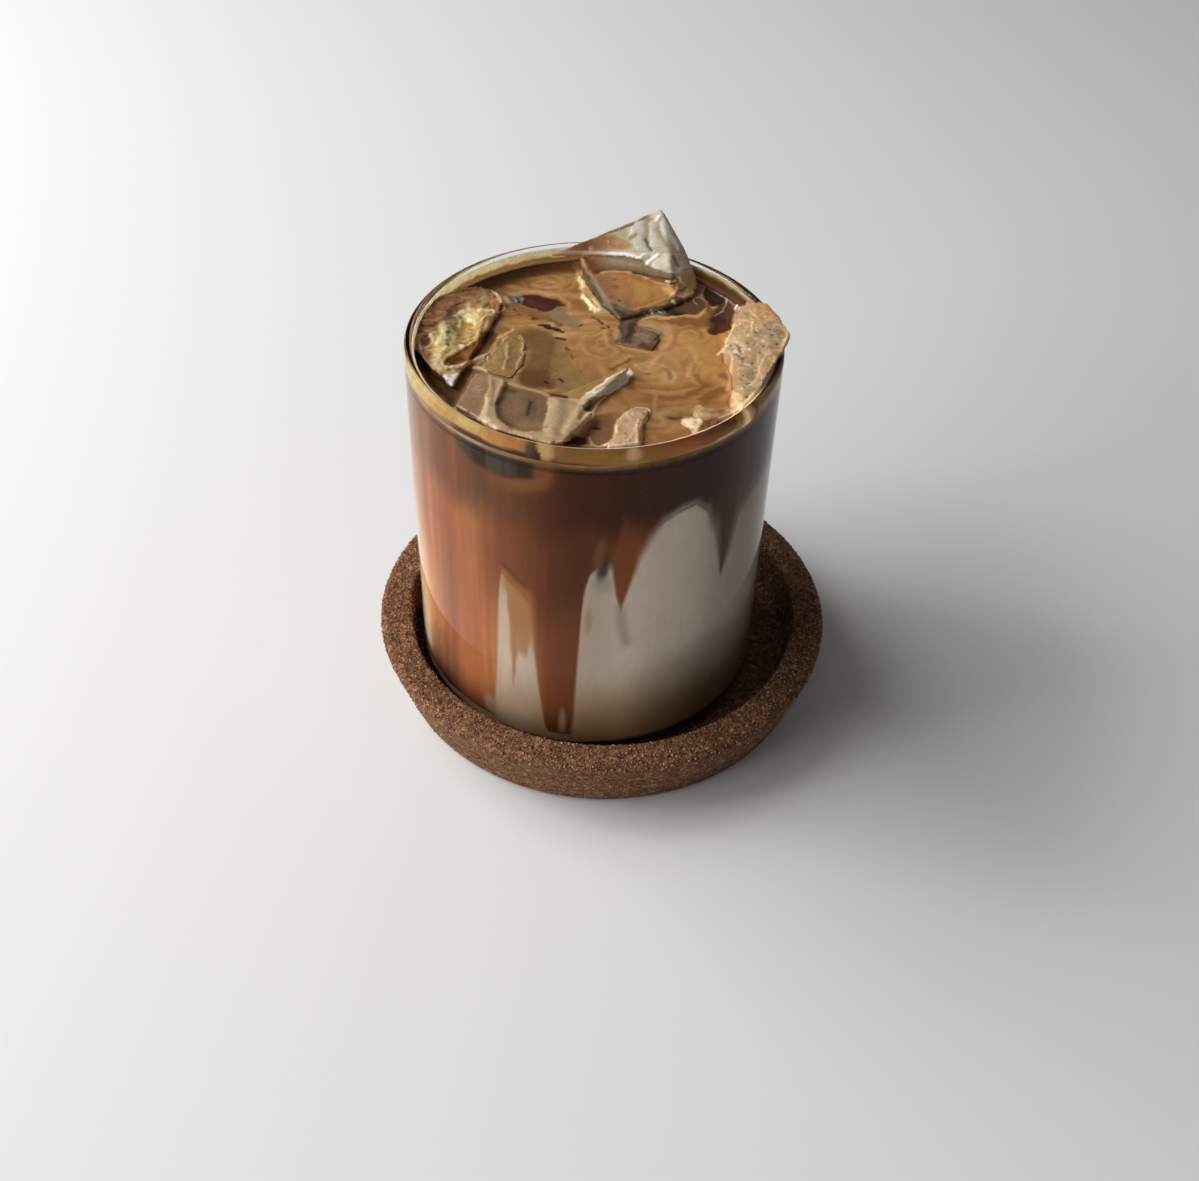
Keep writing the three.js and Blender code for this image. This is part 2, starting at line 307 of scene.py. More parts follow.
def film_finish():
    """The dried film of drink on the inside of the wall."""
    tones = [(0.3, (0.86, 0.85, 0.84)), (0.7, (1.1, 1.1, 1.1))]
    return painted_finish("tan_film", tones, 1.6, 0.6, Roughness=0.35, Specular_IOR_Level=0.3,
                          Subsurface_Weight=1, Subsurface_Radius=(1, 0.95, 0.85), Subsurface_Scale=3 * MM)


def cork_finish():
    """Pressed dark cork: a mosaic of granules in several browns."""
    f = Finish("pressed_cork")
    where = f.place()
    browns = [(at, linear(tone)) for at, tone in CORK_BROWNS]
    large = f.part(f.cells(where, CORK_CELLS_PER_MM, "Color"), 0)
    small = f.part(f.cells(where, SMALL_CELLS_PER_MM, "Color"), 1)
    body = f.blend(0.45, f.ramp(large, browns), f.ramp(small, browns))
    shade = f.ramp(f.noise(where, 0.9, 2), [(0.3, (0.84, 0.83, 0.82)), (0.7, (1.12, 1.11, 1.10))])
    gap = f.rise(f.cells(where, CORK_CELLS_PER_MM, "Distance", "DISTANCE_TO_EDGE"), 0, 0.09)
    gap_shade = f.ramp(gap, [(0, (0.62, 0.58, 0.55)), (1, (1, 1, 1))])
    body = f.blend(1, f.blend(1, body, shade, "MULTIPLY"), gap_shade, "MULTIPLY")
    grit = f.maths("MULTIPLY", f.noise(where, 3, 2), 0.7)
    f.bump(f.maths("ADD", f.cells(where, CORK_CELLS_PER_MM), grit), 0.55, 0.35)
    return f.set(Base_Color=body, Roughness=0.85, Specular_IOR_Level=0.25)


def granule_finish():
    """Loose granules of cork: each has its own brown."""
    f = Finish("cork_granule")
    browns = f.ramp(f.stored("tone", "Fac"), [(at, linear(tone)) for at, tone in GRANULE_BROWNS])
    f.bump(f.noise(f.place(), 3.5, 2), 0.3, 0.2)
    return f.set(Base_Color=browns, Roughness=0.8, Specular_IOR_Level=0.3)


# Shapes

def add_piece(name, mesh, material, replaced=()):
    """A finished piece, in the frame's own place, riding on the one body."""
    mesh.materials.append(material)
    mesh.polygons.foreach_set("use_smooth", [True] * len(mesh.polygons))
    piece = add_object(name, mesh)
    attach(piece, "root")
    if replaced:
        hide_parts(*replaced)
    return piece


def finished_mesh(thing, name):
    """A plain mesh of an object, with its modifiers worked out."""
    bpy.context.view_layer.update()
    mesh = bpy.data.meshes.new_from_object(thing.evaluated_get(bpy.context.evaluated_depsgraph_get()))
    mesh.name = name
    return mesh


def made_mesh(name, points, faces, shift=0):
    """A mesh from points in mm, moved along X by a shift."""
    mesh = bpy.data.meshes.new(name)
    points = np.asarray(points, float) + (shift, 0, 0)
    mesh.from_pydata((points * MM).tolist(), [], faces)
    mesh.update()
    return mesh


def paint(mesh, colours):
    """Stores a display colour on every point, for the attribute named look."""
    values = np.ones((len(mesh.vertices), 4), np.float32)
    values[:, :3] = linear(np.clip(colours, 0, 255))
    layer = mesh.color_attributes.new("look", "FLOAT_COLOR", "POINT")
    layer.data.foreach_set("color", values.ravel())


def round_edge(r, z, radius, start, end, steps=8):
    """Points of an arc in a profile of radius and height; angles in degrees."""
    angles = [math.radians(start + (end - start) * i / steps) for i in range(steps + 1)]
    return [(r + radius * math.cos(a), z + radius * math.sin(a)) for a in angles]


def turned_mesh(name, profile, centre_x):
    """A closed profile of radius and height, from axis to axis, turned round +Z at centre_x."""
    points, rows = [], []
    for r, z in profile:
        if r < 1e-6:
            rows.append([len(points)])
            points.append((0, 0, z))
            continue
        rows.append(range(len(points), len(points) + SEGMENTS_ROUND))
        for i in range(SEGMENTS_ROUND):
            a = math.tau * i / SEGMENTS_ROUND
            points.append((r * math.cos(a), r * math.sin(a), z))
    faces = []
    for low, high in zip(rows, rows[1:]):
        for i in range(SEGMENTS_ROUND):
            j = (i + 1) % SEGMENTS_ROUND
            if len(low) == 1:
                faces.append((low[0], high[j], high[i]))
            elif len(high) == 1:
                faces.append((low[i], low[j], high[0]))
            else:
                faces.append((low[i], low[j], high[j], high[i]))
    return made_mesh(name, points, faces, centre_x)


def disc_points(n):
    """An even grid of n by n squares drawn out to a disc of radius 1, as rows of x and y."""
    a, b = np.meshgrid(np.linspace(-1, 1, n + 1), np.linspace(-1, 1, n + 1))
    wide = np.abs(a) > np.abs(b)
    r = np.where(wide, a, b)
    safe_a, safe_b = np.where(a == 0, 1, a), np.where(b == 0, 1, b)
    turn = np.where(wide, math.pi / 4 * b / safe_a, math.pi / 2 - math.pi / 4 * a / safe_b)
    x, y = r * np.cos(turn), r * np.sin(turn)
    return np.stack([x.ravel(), y.ravel()], 1)


def disc_rim(n):
    """The grid's outer points in order, the way round that an observer above calls left."""
    w = n + 1
    front, right = range(n), range(n, n * w, w)
    back, left = range(n * w + n, n * w, -1), range(n * w, 0, -w)
    return [*front, *right, *back, *left]


def disc_faces(n, start, up=True):
    """The grid's squares, for points that are numbered from start."""
    w = n + 1
    faces = []
    for j in range(n):
        for i in range(n):
            k = start + j * w + i
            face = (k, k + 1, k + w + 1, k + w)
            faces.append(face if up else face[::-1])
    return faces


def band_faces(low, high):
    """Faces that look outwards between two rings of points, given as lists of indices."""
    count = len(low)
    return [(low[i], low[(i + 1) % count], high[(i + 1) % count], high[i]) for i in range(count)]


def wall_faces(rings):
    """Faces that look outwards between rings of points, from the lowest ring up."""
    return [face for low, high in zip(rings, rings[1:]) for face in band_faces(low, high)]


# Colours of the drink
CLOUD_ROWS = 64


def eased(value, low, high):
    """0 at low, 1 at high, with soft ends."""
    share = np.clip((value - low) / (high - low), 0, 1)
    return share * share * (3 - 2 * share)


def lay(under, over, share):
    """Lays a colour over another, by a share at each point."""
    return under + (np.asarray(over, float) - under) * np.asarray(share)[..., None]


def along(value, stops):
    """The colour at a value, from a list of (value, colour)."""
    places = [stop[0] for stop in stops]
    return np.stack([np.interp(value, places, [stop[1][k] for stop in stops]) for k in range(3)], -1)


def cloud(x, y, seed, wrap):
    """Soft random values, 0 to 1, one new value for each unit; x repeats after wrap units."""
    table = np.random.default_rng(seed).random((wrap, CLOUD_ROWS))
    ix, iy = np.floor(x).astype(int), np.floor(y).astype(int)
    fx, fy = eased(x - ix, 0, 1), eased(y - iy, 0, 1)

    def between(row):
        here = table[ix % wrap, (iy + row) % CLOUD_ROWS]
        beside = table[(ix + 1) % wrap, (iy + row) % CLOUD_ROWS]
        return here * (1 - fx) + beside * fx

    return between(0) * (1 - fy) + between(1) * fy


def clouds(x, y, seed, layers, wrap=64):
    """Clouds of several sizes, each half as large and half as strong as the one before."""
    total = sum(cloud(x * 2 ** i, y * 2 ** i, seed + i, wrap * 2 ** i) / 2 ** i for i in range(layers))
    return total / sum(1 / 2 ** i for i in range(layers))


def clouds_on_top(x, y, wide, seed, layers, shift=0):
    """Clouds on the drink's top, -0.5 to 0.5, so wide in mm."""
    return clouds(x / wide + shift, y / wide + shift, seed, layers) - 0.5


def clouds_round(angle, z, tall, seed, layers, count):
    """Clouds on the wall, -0.5 to 0.5, so tall in mm: count of them go round it and join at the back."""
    return clouds((angle + 180) / 360 * count, z / tall, seed, layers, count) - 0.5


def in_oval(x, y, cx, cy, rx, ry, turn):
    """Places as shares of a turned oval's half width and half height."""
    a = math.radians(turn)
    u = ((x - cx) * math.cos(a) + (y - cy) * math.sin(a)) / rx
    v = ((y - cy) * math.cos(a) - (x - cx) * math.sin(a)) / ry
    return u, v


def patch(x, y, cx, cy, rx, ry, turn=0, edge=0.5):
    """1 inside a turned oval, 0 outside, with a soft edge that is a share of its size."""
    return 1 - eased(np.hypot(*in_oval(x, y, cx, cy, rx, ry, turn)), 1 - edge, 1 + edge)


def off_line(x, y, points):
    """The distance to a line through points."""
    best = np.full(np.shape(x), np.inf)
    for (ax, ay), (bx, by) in zip(points, points[1:]):
        dx, dy = bx - ax, by - ay
        t = np.clip(((x - ax) * dx + (y - ay) * dy) / (dx * dx + dy * dy), 0, 1)
        best = np.minimum(best, np.hypot(x - ax - t * dx, y - ay - t * dy))
    return best


def stroke(x, y, points, width, edge):
    """1 on a line through the points, 0 away from it. The width is in mm, and so is the edge."""
    return 1 - eased(off_line(x, y, points), width / 2 - edge / 2, width / 2 + edge)


def area(x, y, corners, edge):
    """1 inside an outline of corners, 0 outside, with a soft edge in mm."""
    inside = np.zeros(np.shape(x), bool)
    outline = corners + corners[:1]
    for (ax, ay), (bx, by) in zip(outline, outline[1:]):
        if ay != by:
            inside ^= ((ay > y) != (by > y)) & (x < ax + (y - ay) * (bx - ax) / (by - ay))
    off = off_line(x, y, outline)
    return eased(np.where(inside, off, -off), -edge / 2, edge / 2)


# Side of the drink. Angles are degrees from the front, growing to the right; heights are mm.
MILK_EDGE = [
    (-100, 10.9), (-70, 10.9), (-31.5, 10.9), (-29.6, 42), (-28, 56.5), (-24, 54), (-18, 50), (-16.5, 36),
    (-13.5, 13), (-12, 10.9), (-4.5, 10.9), (-3.4, 16), (-2, 42), (-1, 55), (0.5, 60), (5, 64), (7, 62),
    (8.6, 54), (10.5, 49.7), (12.6, 56), (15.5, 64), (18.5, 68.5), (23, 72.8), (28, 74.3), (33.5, 74.8),
    (38.5, 71.5), (42.3, 64.6), (46.5, 50.3), (50, 58), (53, 66), (60, 69), (75, 70), (88, 66), (97, 38),
    (106, 62), (125, 70), (140, 58), (147, 20), (154, 54), (172, 64), (187, 60), (197, 30), (206, 56),
    (222, 61), (236, 46), (246, 12), (260, 10.9),
]
TEA_TOP_BAND = [
    (-180, (130, 92, 70)), (-110, (150, 112, 92)), (-80, (172, 134, 106)), (-70, (158, 116, 80)),
    (-62, (150, 103, 70)), (-48, (130, 84, 56)), (-33, (124, 86, 62)), (-20, (120, 80, 56)),
    (-13, (104, 65, 47)), (-7, (91, 56, 41)), (5, (88, 57, 43)), (20, (90, 62, 50)), (30, (84, 60, 56)),
    (40, (84, 60, 54)), (46, (98, 70, 58)), (55, (112, 88, 74)), (65, (84, 64, 56)), (80, (60, 44, 40)),
    (110, (112, 78, 62)), (180, (130, 92, 70)),
]
TEA_MIDDLE = [
    (-180, (142, 92, 64)), (-110, (176, 124, 92)), (-80, (196, 148, 112)), (-70, (190, 130, 82)),
    (-62, (180, 112, 66)), (-55, (182, 114, 72)), (-48, (168, 104, 66)), (-40, (188, 127, 87)),
    (-33, (170, 108, 71)), (-27, (148, 92, 64)), (-20, (140, 90, 58)), (-13, (122, 72, 50)),
    (-7, (108, 68, 48)), (0, (112, 70, 50)), (5, (120, 78, 54)), (9, (158, 96, 62)), (14, (160, 100, 64)),
    (20, (120, 80, 58)), (40, (100, 76, 64)), (46, (112, 79, 64)), (52, (128, 100, 84)), (80, (128, 92, 74)),
    (180, (142, 92, 64)),
]
TEA_LOW = [
    (-180, (150, 98, 66)), (-110, (180, 128, 92)), (-74, (240, 198, 154)), (-66, (222, 166, 116)),
    (-60, (200, 136, 94)), (-55, (190, 125, 90)), (-48, (181, 116, 84)), (-40, (198, 130, 86)),
    (-33, (197, 131, 88)), (-27, (205, 150, 104)), (-20, (192, 136, 92)), (-13, (151, 92, 60)),
    (-7, (147, 89, 62)), (0, (150, 90, 62)), (9, (165, 104, 70)), (46, (118, 84, 66)), (80, (140, 100, 78)),
    (180, (150, 98, 66)),
]
MILK_WHITE = (243, 232, 214)
MILK_SHADED = (190, 172, 152)
MILK_WARM = (222, 190, 158)
MILK_GREY = (158, 140, 126)
MILK_FOOT_SHADE = (180, 142, 100)
# One degree of the wall in mm, and the step in degrees that the edge's slope is taken over.
MM_PER_DEGREE = math.radians(1) * 38.4
STEP_ASIDE = 0.6
# Clouds on the wall: height of one in mm, seed, layers, number of them round the wall.
STREAK, FINE = (34, 11, 3, 96), (60, 21, 2, 240)
BLOTCH, WANDER = (14, 31, 3, 24), (16, 41, 2, 48)

# The golden patch over the left tongue ends in steps: angles, and heights of its lower edge.
STEP_ANGLES = (-26, -25.2, -24.6, -24.1, -23.3, -22.6, -19.4, -18.6, -17.4, -16.4, -15.8)
STEP_HEIGHTS = (52, 40, 27, 23.5, 30, 35.8, 35.4, 38.6, 39.4, 37, 30)
# Spots on the front: colour, strength, then angle, height, half width, half height, turn and soft edge.
PALE_COLUMN = ((232, 208, 176), 0.75, -27.3, 33, 1.5, 12, 0, 0.35)
DARK_WEDGE = ((78, 72, 56), 0.92, 4.4, 61.6, 1.7, 3.4, -14, 0.45)
WEDGE_SHADE = ((176, 164, 148), 0.55, 4.4, 57.4, 3.2, 2.2, 0, 0.5)
TAN_FLECK = ((190, 160, 128), 0.75, 0.4, 47, 1.1, 3.6, 0, 0.35)
WEDGE_HALO = ((150, 110, 84), 0.6, 3.2, 65.5, 1.6, 4.2, -12, 0.5)
CARAMEL_CORNER = ((150, 96, 58), 0.7, -13.6, 85.4, 3.4, 3.4, 0, 0.6)
# Lines on the front: colour, strength, points in mm round the wall and up it, width and soft edge.
STEP_CREASE = ((120, 76, 52), 0.75, [(-18.2, 58.4), (-16.5, 57.6), (-14.6, 55.4), (-13.4, 54.6)], 0.7, 0.9)
THIN_TAIL = ((176, 150, 128), 0.6, [(6.9, 50), (7.3, 45.5), (8.4, 40)], 0.8, 2)


def milk_edge_table():
    """The milk's edge in steps of half a degree, rounded off where the photograph doesn't show it."""
    steps = np.arange(-180, 180, 0.5)
    sharp = np.interp(steps, [p[0] for p in MILK_EDGE], [p[1] for p in MILK_EDGE], period=360)
    rounder = sum(np.roll(sharp, k) * (13 - abs(k)) for k in range(-12, 13)) / 169
    return steps, sharp + (rounder - sharp) * eased(np.abs(steps), 62, 80)


EDGE_ANGLES, EDGE_HEIGHTS = milk_edge_table()


def milk_edge(angle):
    return np.interp(angle, EDGE_ANGLES, EDGE_HEIGHTS, period=360)


def front_angle(x, y):
    return np.degrees(np.arctan2(x, -y))


def side_colour(a, z):
    """The drink's colour at the wall, in display values, with the milk's colour, painted shade and light
    included, and two clouds.
    """
    streak, fine, blotch = (clouds_round(a, z, *kind) for kind in (STREAK, FINE, BLOTCH))
    turned = a + clouds_round(a, z, *WANDER) * 1.2
    ahead = 1 - eased(np.abs(a), 110, 165)

    tea = lay(along(a, TEA_TOP_BAND), along(a, TEA_MIDDLE), 1 - eased(z + blotch * 6 + streak * 8, 67, 76))
    tea = lay(tea, along(a, TEA_LOW), 1 - eased(z + streak * 14, 36, 58))
    lively = 0.13 + 0.1 * eased(-a, 18, 40) * ahead
    tea = tea * (0.97, 0.94, 0.9) * (1 + (streak * 1.1 + fine * 0.7 + blotch * 0.35) * lively)[:, None]
    # painted shade and reflection of the saucer: the tea darker towards the bottom
    tea = lay(tea, tea * (0.8, 0.76, 0.74), 1 - eased(z, 11, 22))
    tea = lay(tea, tea * (0.84, 0.88, 0.92), patch(a, z, -57, 17, 9, 10))

    milk = np.array(MILK_WHITE) * (1 + streak * 0.035 + fine * 0.02 + blotch * 0.05)[:, None]
    milk = lay(milk, MILK_SHADED, 0.6 * ahead * eased(a, 38, 62) * eased(z, 20, 60))
    milk = lay(milk, MILK_WARM, 0.45 * ahead * (1 - eased(a, -6, 14)) * eased(z, 25, 45))
    # painted shade and reflection of the saucer: the milk darker and browner towards its foot, less at the
    # left
    foot = (1 - 0.42 * ahead * eased(-a, 14, 22)) * (1 - eased(z + blotch * 6, 12, 36))
    milk = lay(milk * (0.935, 0.91, 0.905), MILK_FOOT_SHADE, 0.85 * foot)
    milk = lay(milk, MILK_GREY, 0.6 * ahead * eased(z, 60, 72) * eased(a, 46, 54))
    # painted shade on the lower right of the milk, and painted light on its front from about 2 to 44 degrees
    right_foot_shade = eased(a, 12, 36) * (1 - eased(z, 28, 38)) * ahead
    milk = milk * (1 - 0.16 * right_foot_shade + 0.08 * eased(a, 2, 12) * (1 - eased(a, 34, 44)))[:, None]

    edge = milk_edge(turned)
    slope = (milk_edge(turned + STEP_ASIDE) - edge) / (STEP_ASIDE * MM_PER_DEGREE)
    off = (z - edge - blotch * 1.6) / np.sqrt(1 + slope ** 2)
    soft = 0.45 + (1.5 * eased(z, 50, 68) * eased(a, 9, 20) + 1.2 * eased(a, 44, 54)) * ahead
    return lay(milk, tea, eased(off, -soft, soft)), milk, streak, blotch


def side_marks(a, z, colour, milk, streak, blotch):
    """The small tongues, drips and spots that the photograph shows on the front."""
    def spot(under, mark):
        tone, strength, *oval = mark
        return lay(under, tone, strength * patch(a, z, *oval))

    def line(under, mark):
        tone, strength, points, width, edge = mark
        return lay(under, tone, strength * stroke(a * MM_PER_DEGREE, z, points, width, edge))

    # golden patch over the left tongue, with its steps and its long drip
    top = 57.4 - (a + 26.5) * 0.55
    steps = np.interp(a, STEP_ANGLES, STEP_HEIGHTS)
    golden = eased(a + 2.6 * eased(z, 40, 48), -27, -23.6) * (1 - eased(a, -17.6, -15.4))
    golden = golden * eased(z + streak * 5, steps - 2, steps + 2) * (1 - eased(z, top - 1.5, top + 2))
    colour = lay(colour, (184, 122, 68), 0.74 * golden)
    colour = lay(colour, (205, 164, 122), 0.4 * golden * (1 - eased(z, steps, steps + 9)))
    colour = line(spot(colour, PALE_COLUMN), STEP_CREASE)
    # two prongs at the foot of the main run, with a drop of milk between them
    colour = lay(colour, milk * 0.95, 0.85 * patch(a, z, -7.4, 14.6, 1.2, 4.6))
    colour = lay(colour, milk * 0.93, 0.8 * patch(a, z, -33.2, 13.6, 2.6, 3.4, 20, 0.45))
    # peak of milk with a dark wedge, and a thin tail under the second run
    for mark in (DARK_WEDGE, WEDGE_SHADE, TAN_FLECK, WEDGE_HALO):
        colour = spot(colour, mark)
    colour = line(colour, THIN_TAIL)
    # sunk ice at the front left, with a caramel rim under it
    sag = 84.2 - 2.4 * (1 - ((a + 28) / 15) ** 2) + blotch * 1.6
    rim = eased(z, sag - 4.6, sag - 1.2) * (1 - eased(z, sag - 0.2, sag + 1.2))
    rim = rim * eased(a, -38, -20) * (1 - eased(a, -15, -10))
    colour = lay(colour, (158, 104, 62), 0.8 * rim)
    sunk = eased(z, sag - 0.3, sag + 1.5) * eased(a, -44.5, -41) * (1 - eased(a, -17.5, -14.5))
    colour = lay(colour, (64, 52, 40), 0.95 * sunk)
    colour = lay(colour, (108, 98, 82), 0.5 * sunk * eased(streak, 0.02, 0.2))
    colour = spot(colour, CARAMEL_CORNER)
    # painted glare at the left edge of the wall, where it shows the bright window, laid on as soft milky
    # streaks
    painted_light = eased(-a + blotch * 5, 65, 69) * (1 - eased(-a + blotch * 10, 78, 94)) * eased(z, 11, 16)
    painted_light = painted_light * (1 - eased(z + streak * 70 + blotch * 24, 26, 60)) * np.clip(1 + streak * 1.6, 0.4, 1)
    return lay(colour, (255, 234, 202), 0.95 * painted_light)


def wall_colour(x, y, z):
    angle = front_angle(x, y)
    return side_marks(angle, z, *side_colour(angle, z))


# Marbling of the top. Places are x and y in mm from the glass's axis.
# Rings of pale tan: centre, half width, half height, turn, spacing of the lines.
RINGS = [
    (13.6, -4.6, 8, 7, 15, 2.1), (13, -4, 19, 16, 0, 3.4), (-11, 29.5, 8.5, 5.8, 25, 1.9),
    (13, -23, 8, 5, 10, 2.2), (20, 9, 7.5, 6.5, -20, 2.4), (2, 5, 6.5, 7.5, 10, 2.6),
]
# Eddies that drag the streaks round: centre, reach, turn.
EDDIES = [(15, -5, 11, 2.6), (-11, 29, 9, -2.2), (3, 4, 9, 1.6), (24, 8, 9, -1.5), (12, -23, 8, 1.8)]
TAN = [
    (0, (138, 96, 53)), (0.3, (160, 114, 66)), (0.55, (175, 128, 77)), (0.8, (187, 141, 88)),
    (1, (206, 161, 110)),
]


def marbling(x, y):
    """The streaks of milk in the tan skin, 0 dark to 1 pale."""
    u, v = x, y
    for cx, cy, reach, turn in EDDIES:
        dx, dy = u - cx, v - cy
        a = turn * np.exp(-(dx * dx + dy * dy) / reach ** 2)
        u, v = cx + dx * np.cos(a) - dy * np.sin(a), cy + dx * np.sin(a) + dy * np.cos(a)
    u = u + clouds_on_top(x, y, 9, 51, 3) * 9
    v = v + clouds_on_top(x, y, 9, 61, 3) * 9
    broad = clouds(u / 11 + 30, v / 3.4 + 30, 71, 4)
    lines = clouds(u / 14 + 30, v / 1.5 + 30, 81, 2)
    shade = 0.62 * eased(broad, 0.2, 0.8) + 0.38 * eased(lines, 0.2, 0.8)
    for i, (cx, cy, rx, ry, turn, gap) in enumerate(RINGS):
        bx = x + clouds_on_top(x, y, 6, 91 + i, 3, 60) * 5
        by = y + clouds_on_top(x, y, 6, 101 + i, 3, 60) * 5
        p, q = in_oval(bx, by, cx, cy, rx, ry, turn)
        d = np.hypot(p, q)
        shift = 3 * clouds(x / 7, y / 7, 111 + i, 2)
        wave = 0.5 + 0.5 * np.cos(math.tau * d * min(rx, ry) / gap + shift)
        faint = clouds(np.arctan2(q, p) / math.tau * 8 + 8, d * 3, 121 + i, 2, 8)
        share = (1 - eased(d, 0.6, 1.05)) * (0.22 + 0.66 * faint)
        shade = shade * (1 - share) + (0.3 + 0.6 * wave ** 2) * share
    return shade
